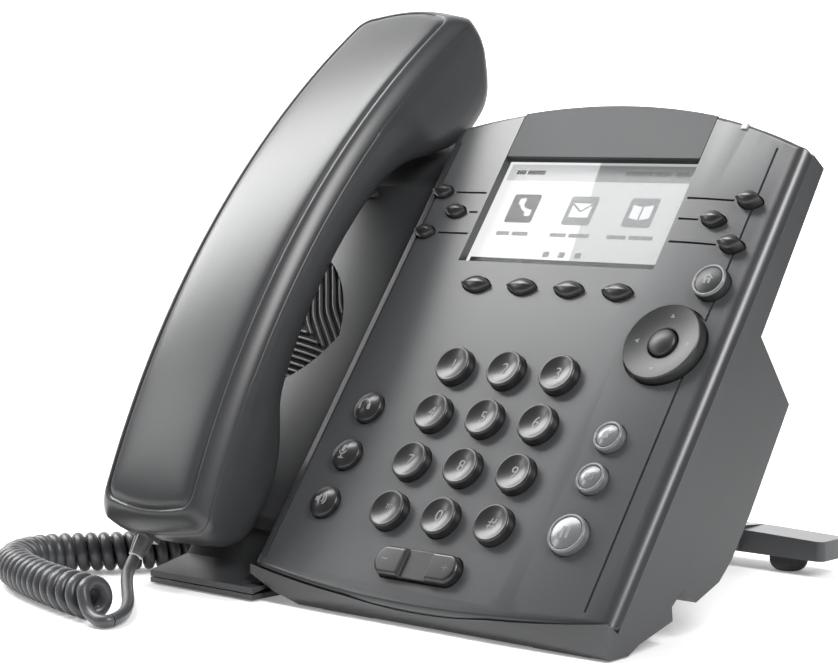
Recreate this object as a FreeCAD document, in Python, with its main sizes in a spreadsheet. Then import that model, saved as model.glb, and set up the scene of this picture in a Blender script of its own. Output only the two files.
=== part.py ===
"""Desk IP phone with a sloping console, a handset on its left and a rear foot stand.

The world frame stands on the desk: +Z up, +X to the user's right, -Y towards the user, millimetres.
Console pieces are drawn in the face frame: x across, y up the slope, z out of the face.
"""
import FreeCAD, Part
import math
import os
import re
import Sketcher

DOC = FreeCAD.newDocument("desk_phone")
V = FreeCAD.Vector

SIZES = {
    # the sloping face
    "faceTilt": 54.0, "faceOriginY": -68.1, "faceOriginZ": 10.7,
    "consoleLeft": -39.5, "consoleRight": 93.0, "cornerRise": 0.0, "bottomArc": 394.0,
    "topCentreU": 20.0, "topCentreV": -33.5, "topArc": 200.0,
    "coverDepth": 5.5, "skin": 2.2, "wall": 2.2, "seam": 0.2,
    "cornerRound": 2.6, "edgeRound": 1.8, "grooveWidth": 0.7, "grooveDepth": 0.8,
    "seamLeft": -35.0, "seamRight": 83.2, "seamLow": 2.5, "seamHigh": 152.0,
    # display
    "displayLeft": -13.8, "displayRight": 59.5, "displayLow": 108.3, "displayHigh": 147.0,
    "displayDepth": 3.0, "ledge": 3.2, "windowThick": 1.0, "windowMargin": 1.6,
    "moduleThick": 3.6, "trimThick": 1.1, "trimPocket": 1.2,
    # dial keys
    "dialU": 24.5, "dialV": 22.3, "dialPitchU": 19.5, "dialPitchV": 16.2,
    "dialRadius": 6.0, "dialProud": 3.0, "dialDish": 0.9, "dialLip": 0.6,
    # round keys beside the dial keys
    "leftKeyU": -21.1, "leftKeyV": 22.3, "leftKeyRadius": 5.0, "leftKeyProud": 3.0, "leftKeyDome": 1.6,
    "rightKeyU": 69.2, "rightKeyRadius": 4.6, "rightKeyLarge": 6.0, "rightKeyProud": 1.9,
    "rightKeyLow": 23.0, "rightKeyMid": 40.4, "rightKeyHigh": 53.5,
    # navigation cluster
    "navU": 73.9, "navV": 84.2, "navRadius": 12.3, "navProud": 1.9, "navDish": 1.5, "navBore": 4.7,
    "navFlange": 13.2, "navFloor": 3.9, "navFlangeTop": 3.0, "selectRadius": 4.2, "selectProud": 2.3,
    "pivotInner": 6.2, "pivotOuter": 9.5, "pivotTop": 4.9, "pivotFloor": 7.0,
    "homeU": 80.9, "homeV": 105.0, "homeRadius": 5.3, "homeProud": 2.2,
    # keys beside and below the display
    "softU": 24.4, "softV": 99.9, "softPitch": 17.68, "softLong": 5.5, "softShort": 2.7, "softProud": 2.4,
    "lineLong": 4.1, "lineShort": 2.4, "lineProud": 2.3,
    "lineLeftOuter": -32.5, "lineLeftInner": -23.7, "lineRightOuter": 81.9, "lineRightInner": 72.8,
    "lineHigh": 133.2, "lineMid": 126.0, "lineLow": 118.1,
    # volume rocker
    "rockerU": 24.0, "rockerV": 6.9, "rockerLong": 15.4, "rockerShort": 4.4, "rockerEndArc": 4.7,
    "rockerProud": 2.9, "rockerSaddle": 1.5, "rockerFloor": 4.0, "rockerSaddleHalf": 6.0,
    # common key fits
    "keyGap": 0.3, "keyFlange": 0.9, "flangeTop": 2.6, "flangeThick": 0.9, "stemFloor": 4.0,
    # inside the console
    "matTop": 5.3, "matFloor": 7.8, "matLeft": -30.0, "matRight": 87.0, "matLow": 2.5, "matHigh": 104.0,
    "matNavHole": 10.6, "boardTop": 8.0, "boardThick": 1.6, "boardLeft": -33.0, "boardRight": 88.0,
    "boardLow": 3.5, "boardHigh": 147.5,
    # message light
    "lightU": 70.0, "lightWidth": 2.2, "lightLow": 157.6, "lightDepth": 2.0,
    # cradle and base
    "baseLeft": -79.0, "cradleRight": -39.8, "cradleFace": 6.0, "cradleThick": 2.2,
    "slabRight": -34.7, "standoff": 0.5,
    "backNear": 14.7, "backFar": 12.6, "backSlope": 0.04, "bulgeBack": 40.0,
    # speaker
    "grilleU": -68.0, "grilleV": 86.0, "grilleThick": 1.4, "slatPitch": 4.2, "slotWidth": 1.9,
    "speakerDepth": 7.5, "coneRadius": 13.0, "magnetRadius": 8.5, "magnetDepth": 5.0,
    # hook parts
    "hookU": -70.0, "hookV": 30.5, "hookRadius": 3.4, "hookDrop": 6.1, "hookFloor": 8.0,
    "tabV": 134.0, "tabWidth": 9.0, "tabProud": 1.6,
    # sockets and plugs
    "jackV": 49.0, "networkWide": 11.8, "networkTall": 8.2, "handsetWide": 8.0, "handsetTall": 6.8,
    "jackDeep": 10.0, "jackBack": 38.6, "jackFront": 26.0, "blockHalf": 6.0,
    "powerU": 81.0, "powerRadius": 3.1, "powerPinRadius": 0.9,
    "plugSide": 0.3, "plugOut": 6.0,
    # stand
    "standLeft": -25.0, "standRight": 39.0, "barLeft": -55.5, "barRight": 69.5, "barNear": 70.2, "barFar": 84.2,
    "barFloor": 5.2, "barTop": 12.2, "barCrown": 13.4, "barCrownLeft": -30.0, "barCrownRight": 44.0,
    "domeLeft": -39.0, "domeRight": 53.0, "domeRadius": 6.0, "domeShoulder": 3.6,
    "padLeft": -70.0, "padMiddle": -12.0, "padRight": 66.0, "padLong": 20.0, "padDeep": 5.0, "padNear": 6.5,
    # handset
    "handsetLeft": -93.0, "handsetRight": -47.0, "handsetWall": 2.0, "partingArc": 305.6,
    "partingLow": 13.3, "partingHigh": 4.7, "crownArc": 313.0, "crownLow": 19.5, "crownHigh": 11.5,
    "handsetBottom": -2.0, "handsetTop": 201.0, "handsetTopRise": 6.0,
    "handsetEdgeRound": 4.0,
    "capsuleRadius": 14.0, "capsuleDeep": 6.0, "microphoneRadius": 4.8, "microphoneDeep": 5.0,
    "earV": 172.0, "mouthV": 20.0,
    "plugU": -77.0, "plugN": 9.0,
    # cord
    "cordDiameter": 4.0, "coilDiameter": 12.0,
}

SHEET = DOC.addObject("Spreadsheet::Sheet", "Sizes")
ALIAS_PATTERN = re.compile(r"\b([A-Za-z][A-Za-z0-9]*)\b")
FINISHED = []


def fill_sheet():
    """One row for each driving dimension: its name in column A and its value in column B."""
    for row, (alias, value) in enumerate(SIZES.items(), start=1):
        SHEET.set(f"A{row}", alias)
        SHEET.set(f"B{row}", repr(value))
        SHEET.setAlias(f"B{row}", alias)
    DOC.recompute()


def on_sheet(expression):
    """The expression with every size name pointed at the spreadsheet."""
    def swap(match):
        word = match.group(1)
        return f"Sizes.{word}" if word in SIZES else word
    return ALIAS_PATTERN.sub(swap, str(expression))


def size(expression):
    """The value of an expression of sheet sizes."""
    return float(SHEET.evalExpression(on_sheet(expression)))


def face_placement(across="0", upward="0"):
    """The placement of the face frame, moved across and up the slope."""
    rotation = FreeCAD.Rotation(V(1, 0, 0), size("faceTilt"))
    origin = V(0, size("faceOriginY"), size("faceOriginZ"))
    return FreeCAD.Placement(origin + rotation.multVec(V(size(across), size(upward), 0)), rotation)


def world_to_face(along, height):
    """(up the slope, out of the face) of a point at that world Y and Z."""
    point = face_placement().inverse().multVec(V(0, along, height))
    return point.y, point.z


def new_body(label, placement=None):
    body = DOC.addObject("PartDesign::Body", label)
    body.Label = label
    body.Placement = placement or FreeCAD.Placement()
    FINISHED.append(body)
    return body


def new_sketch(body, plane, name, offset="0"):
    """A sketch on one of the body's origin planes, moved along the plane's normal."""
    sketch = body.newObject("Sketcher::SketchObject", name)
    base = next(f for f in body.Origin.OriginFeatures if f.Role == plane)
    sketch.AttachmentSupport = [(base, "")]
    sketch.MapMode = "FlatFace"
    sketch.setExpression("AttachmentOffset.Base.z", on_sheet(offset))
    return sketch


def bind_constraint(sketch, kind, *arguments, expression):
    """A dimension that follows an expression of sheet sizes."""
    index = sketch.addConstraint(Sketcher.Constraint(kind, *arguments, size(expression)))
    sketch.setExpression(f"Constraints[{index}]", on_sheet(expression))


def arc_between(start, end, radius, bulge):
    """A circular arc from start to end, bulging out of or into an anticlockwise outline."""
    chord = end - start
    middle = (start + end) * 0.5
    left = V(-chord.y, chord.x, 0).normalize()
    reach = math.sqrt(max(radius * radius - chord.Length ** 2 / 4, 0.0))
    side = 1 if bulge == "out" else -1
    centre = middle + left * reach * side
    first, last = (start, end) if bulge == "out" else (end, start)
    angle_first = math.atan2(first.y - centre.y, first.x - centre.x)
    angle_last = math.atan2(last.y - centre.y, last.x - centre.x)
    if angle_last <= angle_first:
        angle_last += 2 * math.pi
    return Part.ArcOfCircle(Part.Circle(centre, V(0, 0, 1), radius), angle_first, angle_last)


def outline(sketch, corners):
    """A closed outline. A corner is (x, y), or (x, y, bulge, radius) where an arc runs to the next corner."""
    points = [V(size(c[0]), size(c[1]), 0) for c in corners]
    pieces = []
    for index, corner in enumerate(corners):
        start, end = points[index], points[(index + 1) % len(points)]
        if len(corner) == 4:
            piece = sketch.addGeometry(arc_between(start, end, size(corner[3]), corner[2]))
            ends = (1, 2) if corner[2] == "out" else (2, 1)
        else:
            piece = sketch.addGeometry(Part.LineSegment(start, end))
            ends = (1, 2)
        pieces.append((piece, ends))
    for index, (piece, ends) in enumerate(pieces):
        following, following_ends = pieces[(index + 1) % len(pieces)]
        sketch.addConstraint(Sketcher.Constraint("Coincident", piece, ends[1], following, following_ends[0]))
    for corner, (piece, ends) in zip(corners, pieces):
        bind_constraint(sketch, "DistanceX", -1, 1, piece, ends[0], expression=corner[0])
        bind_constraint(sketch, "DistanceY", -1, 1, piece, ends[0], expression=corner[1])
        if len(corner) == 4:
            bind_constraint(sketch, "Radius", piece, expression=corner[3])


def rectangle(sketch, left, low, right, high):
    outline(sketch, [(left, low), (right, low), (right, high), (left, high)])


def circle(sketch, x, y, radius):
    piece = sketch.addGeometry(Part.Circle(V(size(x), size(y), 0), V(0, 0, 1), size(radius)))
    bind_constraint(sketch, "DistanceX", -1, 1, piece, 3, expression=x)
    bind_constraint(sketch, "DistanceY", -1, 1, piece, 3, expression=y)
    bind_constraint(sketch, "Radius", piece, expression=radius)


def lens(sketch, x, y, half_long, half_short):
    """An eye shape of two equal arcs."""
    arc = f"(({half_long}) * ({half_long}) + ({half_short}) * ({half_short})) / (2 * ({half_short}))"
    outline(sketch, [(f"{x} - ({half_long})", y, "out", arc), (f"{x} + ({half_long})", y, "out", arc)])


def pad(body, sketch, length, name):
    feature = body.newObject("PartDesign::Pad", name)
    feature.Profile = sketch
    feature.setExpression("Length", on_sheet(length))
    DOC.recompute()
    return feature


def pocket(body, sketch, length, name, against=False):
    """A cut along the sketch's normal, or against it. It has to take material away."""
    before = body.Shape.Volume
    feature = body.newObject("PartDesign::Pocket", name)
    feature.Profile = sketch
    feature.setExpression("Length", on_sheet(length))
    feature.Reversed = not against
    DOC.recompute()
    if not body.Shape.Volume < before - 1e-6 or not body.Shape.isValid():
        raise RuntimeError(f"{name} in {body.Label} cuts nothing, or cuts badly")
    return feature


def revolve(body, sketch, name):
    feature = body.newObject("PartDesign::Revolution", name)
    feature.Profile = sketch
    feature.ReferenceAxis = (sketch, ["V_Axis"])
    feature.Angle = 360
    DOC.recompute()
    return feature


def dress(body, kind, chosen, amount, name):
    """A fillet or chamfer on the edges of the body's tip that pass the test."""
    tip = body.Tip
    names = [f"Edge{i}" for i, edge in enumerate(tip.Shape.Edges, start=1) if chosen(edge)]
    feature = body.newObject(f"PartDesign::{kind}", name)
    feature.Base = (tip, names)
    feature.setExpression("Radius" if kind == "Fillet" else "Size", on_sheet(amount))
    DOC.recompute()
    if not names or "Touched" in feature.State or not body.Shape.isValid():
        raise RuntimeError(f"{name} in {body.Label} failed on {names}")
    return feature


def runs_along(edge, axis, least):
    """True for a straight edge along that axis (0, 1 or 2) that is at least so long."""
    box = edge.BoundBox
    spans = [box.XLength, box.YLength, box.ZLength]
    return spans[axis] > least and all(s < 1e-3 for i, s in enumerate(spans) if i != axis)


def level_at(edge, height):
    return abs(edge.BoundBox.ZMin - height) < 1e-3 and abs(edge.BoundBox.ZMax - height) < 1e-3


def face_outline(inset):
    """The console's outline in the face plane, set in by a distance."""
    left, right = f"consoleLeft + {inset}", f"consoleRight - {inset}"
    arc = f"(topArc - {inset})"

    def on_top_arc(x):
        return f"topCentreV + sqrt({arc} * {arc} - ({x} - topCentreU) * ({x} - topCentreU))"
    return [(left, f"cornerRise + {inset}", "out", "bottomArc"), (right, f"cornerRise + {inset}"),
            (right, on_top_arc(right), "out", arc), (left, on_top_arc(left))]


LINE_KEYS = {
    "line_key_left_1": ("lineLeftOuter", "lineHigh"), "line_key_left_2": ("lineLeftInner", "lineMid"),
    "line_key_left_3": ("lineLeftOuter", "lineLow"), "line_key_right_1": ("lineRightOuter", "lineHigh"),
    "line_key_right_2": ("lineRightInner", "lineMid"), "line_key_right_3": ("lineRightOuter", "lineLow"),
}
DIAL_NAMES = [["1", "2", "3"], ["4", "5", "6"], ["7", "8", "9"], ["star", "0", "hash"]]
DIAL_KEYS = {
    f"dial_key_{name}": (f"dialU + {column - 1} * dialPitchU", f"dialV + {3 - row} * dialPitchV")
    for row, names in enumerate(DIAL_NAMES) for column, name in enumerate(names)
}
LEFT_KEYS = {f"left_key_{i + 1}": ("leftKeyU", f"leftKeyV + {2 - i} * dialPitchV") for i in range(3)}
RIGHT_KEYS = {
    "right_key_1": ("rightKeyU", "rightKeyHigh", "rightKeyRadius"),
    "right_key_2": ("rightKeyU", "rightKeyMid", "rightKeyRadius"),
    "right_key_3": ("rightKeyU", "rightKeyLow", "rightKeyLarge"),
}
SOFT_KEYS = {f"soft_key_{i + 1}": (f"softU + ({i} - 1.5) * softPitch", "softV") for i in range(4)}


def cut_key_holes(body):
    holes = new_sketch(body, "XY_Plane", "round_key_holes", "1")
    for across, upward in DIAL_KEYS.values():
        circle(holes, across, upward, "dialRadius + keyGap")
    for across, upward in LEFT_KEYS.values():
        circle(holes, across, upward, "leftKeyRadius + keyGap")
    for across, upward, radius in RIGHT_KEYS.values():
        circle(holes, across, upward, f"{radius} + keyGap")
    circle(holes, "navU", "navV", "navRadius + 0.7")
    circle(holes, "homeU", "homeV", "homeRadius + keyGap")
    pocket(body, holes, "coverDepth + 2", "round_key_cut", against=True)
    slots = new_sketch(body, "XY_Plane", "slot_key_holes", "1")
    for across, upward in SOFT_KEYS.values():
        lens(slots, across, upward, "softLong + 0.4", "softShort + keyGap")
    for across, upward in LINE_KEYS.values():
        lens(slots, across, upward, "lineLong + 0.4", "lineShort + keyGap")
    rocker_outline(slots, "rockerU", "rockerV", "0.45")
    pocket(body, slots, "coverDepth + 2", "slot_key_cut", against=True)


def rocker_outline(sketch, x, y, gap):
    """A bar with bowed ends."""
    end, half = f"({x} + rockerLong - 3.3)", f"(rockerShort + {gap})"
    start = f"({x} - rockerLong + 3.3)"
    arc = f"rockerEndArc + {gap}"
    outline(sketch, [(start, f"{y} - {half}"), (end, f"{y} - {half}", "out", arc),
                     (end, f"{y} + {half}"), (start, f"{y} + {half}", "out", arc)])


def front_cover():
    body = new_body("front_cover", face_placement())
    rim = new_sketch(body, "XY_Plane", "rim", "-coverDepth")
    outline(rim, face_outline("0"))
    pad(body, rim, "coverDepth", "block")
    dress(body, "Fillet", lambda e: runs_along(e, 2, 3), "cornerRound", "corner_rounding")
    dress(body, "Fillet", lambda e: level_at(e, 0), "edgeRound", "edge_rounding")
    inner = new_sketch(body, "XY_Plane", "inner", "-coverDepth")
    outline(inner, face_outline("wall"))
    rectangle(inner, "displayLeft - ledge", "displayLow - ledge", "displayRight + ledge", "displayHigh + ledge")
    pocket(body, inner, "coverDepth - skin", "inner_cut")
    seat = new_sketch(body, "XY_Plane", "display_seat", "-coverDepth - 1")
    rectangle(seat, "displayLeft - windowMargin", "displayLow - windowMargin",
              "displayRight + windowMargin", "displayHigh + windowMargin")
    pocket(body, seat, "coverDepth + 1 - displayDepth", "display_seat_cut")
    opening = new_sketch(body, "XY_Plane", "display_opening", "1")
    rectangle(opening, "displayLeft", "displayLow", "displayRight", "displayHigh")
    pocket(body, opening, "coverDepth + 2", "display_cut", against=True)
    cut_key_holes(body)
    trim = new_sketch(body, "XY_Plane", "trim_recess", "1")
    rectangle(trim, "displayLeft", "displayHigh - 1", "displayRight", "displayHigh + 30")
    pocket(body, trim, "1 + trimPocket", "trim_recess_cut", against=True)
    light = new_sketch(body, "XY_Plane", "light_recess", "1")
    rectangle(light, "lightU - lightWidth / 2", "lightLow", "lightU + lightWidth / 2", "lightLow + 20")
    pocket(body, light, "1 + lightDepth", "light_recess_cut", against=True)
    grooves = new_sketch(body, "XY_Plane", "grooves", "1")
    for across in ("seamLeft", "seamRight"):
        rectangle(grooves, f"{across} - grooveWidth / 2", "seamLow", f"{across} + grooveWidth / 2", "seamHigh")
    for name, (across, upward) in LINE_KEYS.items():
        low, high = f"{upward} - grooveWidth / 2", f"{upward} + grooveWidth / 2"
        if "left" in name:
            rectangle(grooves, f"{across} + lineLong + 1.2", low, "displayLeft - 1.2", high)
        else:
            rectangle(grooves, "displayRight + 1.2", low, f"{across} - lineLong - 1.2", high)
    pocket(body, grooves, "1 + grooveDepth", "groove_cut", against=True)


def plate(label, left, low, right, high, floor, thickness):
    """A flat rectangular piece that lies parallel to the face."""
    body = new_body(label, face_placement())
    sketch = new_sketch(body, "XY_Plane", f"{label}_outline", floor)
    rectangle(sketch, left, low, right, high)
    pad(body, sketch, thickness, f"{label}_pad")
    return body


def display_pieces():
    margin = "(windowMargin - seam)"
    plate("lcd_window", f"displayLeft - {margin}", f"displayLow - {margin}", f"displayRight + {margin}",
          f"displayHigh + {margin}", "-displayDepth - windowThick - 0.1", "windowThick")
    plate("lcd_module", f"displayLeft - {margin}", f"displayLow - {margin}", f"displayRight + {margin}",
          f"displayHigh + {margin}", "-displayDepth - windowThick - 0.2 - moduleThick", "moduleThick")
    body = new_body("display_trim", face_placement())
    sketch = new_sketch(body, "XY_Plane", "trim_outline", "-trimThick")
    left, right, arc = "displayLeft + seam", "displayRight - seam", "topArc - 0.3"

    def top(x):
        return f"topCentreV + sqrt(({arc}) * ({arc}) - ({x} - topCentreU) * ({x} - topCentreU))"
    outline(sketch, [(left, "displayHigh"), (right, "displayHigh"), (right, top(right), "out", arc),
                     (left, top(left))])
    pad(body, sketch, "trimThick", "trim_pad")
    body = new_body("message_light", face_placement())
    sketch = new_sketch(body, "XY_Plane", "light_outline", "-lightDepth + 0.1")
    left, right, arc = "lightU - lightWidth / 2 + 0.1", "lightU + lightWidth / 2 - 0.1", "topArc - 0.2"
    outline(sketch, [(left, "lightLow + 0.1"), (right, "lightLow + 0.1"), (right, top(right), "out", arc),
                     (left, top(left))])
    pad(body, sketch, "lightDepth - 0.1", "light_pad")


def revolved_key(label, across, upward, profile):
    """A key turned about its own centre line. The profile is (radius, height) corners, anticlockwise."""
    body = new_body(label, face_placement(across, upward))
    sketch = new_sketch(body, "XZ_Plane", f"{label}_profile")
    outline(sketch, profile)
    revolve(body, sketch, f"{label}_turned")
    return body


def flanged_stem(radius):
    """The lower right-hand corners of a key: floor, flange and the shaft through the cover."""
    floor = "-flangeTop - flangeThick"
    return [("0", floor), (f"{radius} + keyFlange", floor), (f"{radius} + keyFlange", "-flangeTop"),
            (radius, "-flangeTop")]


def dish_arc(radius, depth):
    return f"(({radius}) * ({radius}) + ({depth}) * ({depth})) / (2 * ({depth}))"


def round_keys():
    lip = "(dialRadius - dialLip)"
    for name, (across, upward) in DIAL_KEYS.items():
        revolved_key(name, across, upward, flanged_stem("dialRadius") + [
            ("dialRadius", "dialProud - dialLip"), (lip, "dialProud", "in", dish_arc(lip, "dialDish")),
            ("0", "dialProud - dialDish")])
    for name, (across, upward) in LEFT_KEYS.items():
        revolved_key(name, across, upward, flanged_stem("leftKeyRadius") + [
            ("leftKeyRadius", "leftKeyProud - leftKeyDome", "out", dish_arc("leftKeyRadius", "leftKeyDome")),
            ("0", "leftKeyProud")])
    for name, (across, upward, radius) in RIGHT_KEYS.items():
        ring = f"({radius} - 0.9)"
        revolved_key(name, across, upward, flanged_stem(radius) + [
            (radius, "rightKeyProud - 0.4"), (f"{radius} - 0.4", "rightKeyProud"), (ring, "rightKeyProud"),
            (ring, "rightKeyProud - 0.5", "out", dish_arc(ring, "0.4")), ("0", "rightKeyProud - 0.1")])
    revolved_key("home_key", "homeU", "homeV", flanged_stem("homeRadius") + [
        ("homeRadius", "homeProud - 0.7", "out", dish_arc("homeRadius", "0.7")), ("0", "homeProud")])


def navigation():
    rim = "(navRadius - 0.7)"
    revolved_key("nav_ring", "navU", "navV", [
        ("navBore", "-navFloor"), ("navFlange", "-navFloor"), ("navFlange", "-navFlangeTop"),
        ("navRadius", "-navFlangeTop"), ("navRadius", "navProud - 0.7"), (rim, "navProud"),
        ("navBore", "navProud - navDish")])
    revolved_key("nav_pivot", "navU", "navV", [
        ("pivotInner", "-pivotFloor"), ("pivotOuter", "-pivotFloor"), ("pivotOuter", "-pivotTop"),
        ("pivotInner", "-pivotTop")])
    revolved_key("select_key", "navU", "navV", [
        ("0", "-6.6"), ("selectRadius + 1", "-6.6"), ("selectRadius + 1", "-5.7"), ("selectRadius", "-5.7"),
        ("selectRadius", "selectProud - 1.1", "out", dish_arc("selectRadius", "1.1")), ("0", "selectProud")])


def lens_key(label, across, upward, half_long, half_short, proud):
    body = new_body(label, face_placement(across, upward))
    sketch = new_sketch(body, "XY_Plane", f"{label}_outline", "-stemFloor")
    lens(sketch, "0", "0", half_long, half_short)
    pad(body, sketch, f"stemFloor + {proud}", f"{label}_pad")
    top = size(proud)
    dress(body, "Chamfer", lambda e: level_at(e, top), "1.1", f"{label}_slopes")


def bar_keys():
    for name, (across, upward) in SOFT_KEYS.items():
        lens_key(name, across, upward, "softLong", "softShort", "softProud")
    for name, (across, upward) in LINE_KEYS.items():
        lens_key(name, across, upward, "lineLong", "lineShort", "lineProud")
    body = new_body("volume_rocker", face_placement("rockerU", "rockerV"))
    sketch = new_sketch(body, "XY_Plane", "rocker_outline", "-rockerFloor")
    rocker_outline(sketch, "0", "0", "0")
    pad(body, sketch, "rockerFloor + rockerProud", "rocker_pad")
    top = size("rockerProud")
    dress(body, "Fillet", lambda e: level_at(e, top), "1.2", "rocker_rounding")
    saddle = new_sketch(body, "XZ_Plane", "rocker_saddle", "-rockerShort - 1")
    outline(saddle, [("-rockerSaddleHalf", "rockerProud + 1"), ("-rockerSaddleHalf + 1.2", "rockerSaddle"),
                     ("rockerSaddleHalf - 1.2", "rockerSaddle"), ("rockerSaddleHalf", "rockerProud + 1")])
    pocket(body, saddle, "2 * rockerShort + 2", "rocker_saddle_cut")


def inner_console():
    body = new_body("keypad_mat", face_placement())
    sketch = new_sketch(body, "XY_Plane", "mat_outline", "-matFloor")
    rectangle(sketch, "matLeft", "matLow", "matRight", "matHigh")
    circle(sketch, "navU", "navV", "matNavHole")
    pad(body, sketch, "matFloor - matTop", "mat_pad")
    plate("main_board", "boardLeft", "boardLow", "boardRight", "boardHigh", "-boardTop - boardThick", "boardThick")


def at_world(along, height):
    """Face-frame corner of a point given by its world Y and Z, as number text."""
    up, out = world_to_face(along, height)
    return f"{up:.4f}", f"{out:.4f}"


CHIN_NEAR, CHIN_FAR, SLAB_FRONT = -67.2, -59.2, -72.2


def shell_back():
    """The back of the shell, from the top end down to the desk, shared by both sides."""
    return [("97.2", "-backNear"), ("89.4", "-bulgeBack + 1.8"), ("54.7", "-bulgeBack"),
            ("40", "-bulgeBack + 0.2"),
            ("32.4", "-bulgeBack + 1.8"), ("22.7", "-bulgeBack + 8.1"), ("22.4", "-24.3"), ("16.6", "-22.8"),
            ("13.7", "-25.4"), ("1.7", "-15.8")]


def rear_cover():
    body = new_body("rear_cover", face_placement())
    side = new_sketch(body, "YZ_Plane", "console_side", "consoleLeft")
    foot_far = at_world(CHIN_FAR, SIZES["standoff"])
    foot_near = at_world(CHIN_NEAR, SIZES["standoff"])
    chin_top = at_world(CHIN_NEAR - 4.6, 8.0)
    outline(side, [("170", "-coverDepth - seam"), ("170", back_level("170"))] + shell_back()
            + [foot_far, foot_near, chin_top, ("9", "0.6"), ("9", "-coverDepth - seam")])
    pad(body, side, "consoleRight - consoleLeft", "console_tub")
    trim_console(body)
    cradle = new_sketch(body, "YZ_Plane", "cradle_side", "baseLeft")
    slab_low = at_world(SLAB_FRONT, SIZES["standoff"])
    slab_high = at_world(SLAB_FRONT, 2.1)
    outline(cradle, [("150", "-12.1"), ("150", "-backFar - 1.8"),
                     ("97.2", "-backNear - 1.0")] + shell_back()[1:]
            + [foot_far, slab_low, slab_high, ("-2.4", "-8.6"), ("2.9", "-13.4"), ("17.5", "-13.4"),
               ("19.7", "-cradleFace - cradleThick - seam"), ("137.8", "-cradleFace - cradleThick - seam"),
               ("143", "-12.1")])
    pad(body, cradle, "consoleLeft - baseLeft + 1", "cradle_tub")
    slab = new_sketch(body, "YZ_Plane", "slab_side", "cradleRight - 1")
    outline(slab, [foot_far, slab_low, slab_high, at_world(CHIN_NEAR, 2.1), at_world(CHIN_FAR, 2.1)])
    pad(body, slab, "slabRight - cradleRight + 1", "slab_end")
    hollow_console(body)
    cut_rear_details(body)


def back_level(upward):
    """The flat back's level at a height up the slope."""
    return f"-backNear + ({upward} - 97.2) * backSlope"


def plan_sketch(body, name, height):
    """A sketch parallel to the desk: x across, y along the world Y axis from the face frame's origin."""
    sketch = new_sketch(body, "XY_Plane", name)
    sketch.setExpression("AttachmentOffset.Base.z", None)
    tilt_back = FreeCAD.Rotation(V(1, 0, 0), -size("faceTilt"))
    sketch.AttachmentOffset = FreeCAD.Placement(tilt_back.multVec(V(0, 0, height)), tilt_back)
    return sketch


def trim_console(body):
    """Cuts the top arc, the room for the front cover, the bowed chin and the chin's lifted left end."""
    top = new_sketch(body, "XY_Plane", "top_arc", "-60")
    right, left = "consoleRight", "consoleLeft"

    def on_arc(x):
        return f"topCentreV + sqrt(topArc * topArc - ({x} - topCentreU) * ({x} - topCentreU))"
    outline(top, [(left, on_arc(left)), (left, "190"), ("consoleRight + 5", "190"),
                  ("consoleRight + 5", on_arc(right)),
                  (right, on_arc(right), "out", "topArc")])
    pocket(body, top, "60", "top_arc_cut")
    room = new_sketch(body, "XY_Plane", "cover_room", "-coverDepth - seam")
    outline(room, face_outline("-0.25"))
    pocket(body, room, "coverDepth + 5", "cover_room_cut")
    front = plan_sketch(body, "chin_plan", -12)
    outline(front, [("consoleLeft - 1", "-12"), ("consoleRight + 5", "-12"), ("consoleRight + 5", "0"),
                    (right, "0", "in", "bottomArc + 290"), ("consoleLeft - 1", "0")])
    pocket(body, front, "40", "chin_plan_cut")
    lift = new_sketch(body, "XZ_Plane", "chin_lift")
    lift.setExpression("AttachmentOffset.Base.z", None)
    turn = FreeCAD.Rotation(V(1, 0, 0), -size("faceTilt"))
    lift.AttachmentOffset = FreeCAD.Placement(V(0, 0, 0), turn)
    outline(lift, [("consoleLeft - 1", "-13"), ("-20.6", "-13"), ("-20.6", "-faceOriginZ + 0.6"),
                   ("consoleLeft - 1", "-2.8")])
    before = body.Shape.Volume
    cut = body.newObject("PartDesign::Pocket", "chin_lift_cut")
    cut.Profile = lift
    cut.Midplane = True
    cut.Length = 30
    DOC.recompute()
    if not body.Shape.Volume < before:
        raise RuntimeError("the chin's lift cuts nothing")


def hollow_console(body):
    plan = new_sketch(body, "XY_Plane", "inner_plan", "-10.4")
    outline(plan, face_outline("wall + 0.2"))
    pocket(body, plan, "20", "inner_plan_cut")
    deep = new_sketch(body, "YZ_Plane", "inner_side", "consoleLeft + wall")
    outline(deep, [("94.8", "-9"), ("94.8", "-13"), ("87.2", "-bulgeBack + 4.2"),
                   ("54.7", "-bulgeBack + 2.4"),
                   ("41", "-bulgeBack + 2.6"), ("33.5", "-bulgeBack + 4.1"), ("26", "-29.5"),
                   ("25.5", "-21.6"),
                   ("15", "-19.8"), ("13", "-21.4"), ("4.5", "-14.2"), ("4.5", "-9")])
    pocket(body, deep, "consoleRight - consoleLeft - 2 * wall", "inner_side_cut")
    cradle = new_sketch(body, "YZ_Plane", "cradle_inner_side", "baseLeft + wall")
    outline(cradle, [("94.8", "-6"), ("94.8", "-13.2"), ("87.2", "-bulgeBack + 4.2"),
                     ("54.7", "-bulgeBack + 2.4"),
                     ("41", "-bulgeBack + 2.6"), ("33.5", "-bulgeBack + 4.1"), ("26", "-29.5"),
                     ("25.5", "-6")])
    pocket(body, cradle, "cradleRight - baseLeft - 2 * wall", "cradle_inner_cut")


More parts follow.
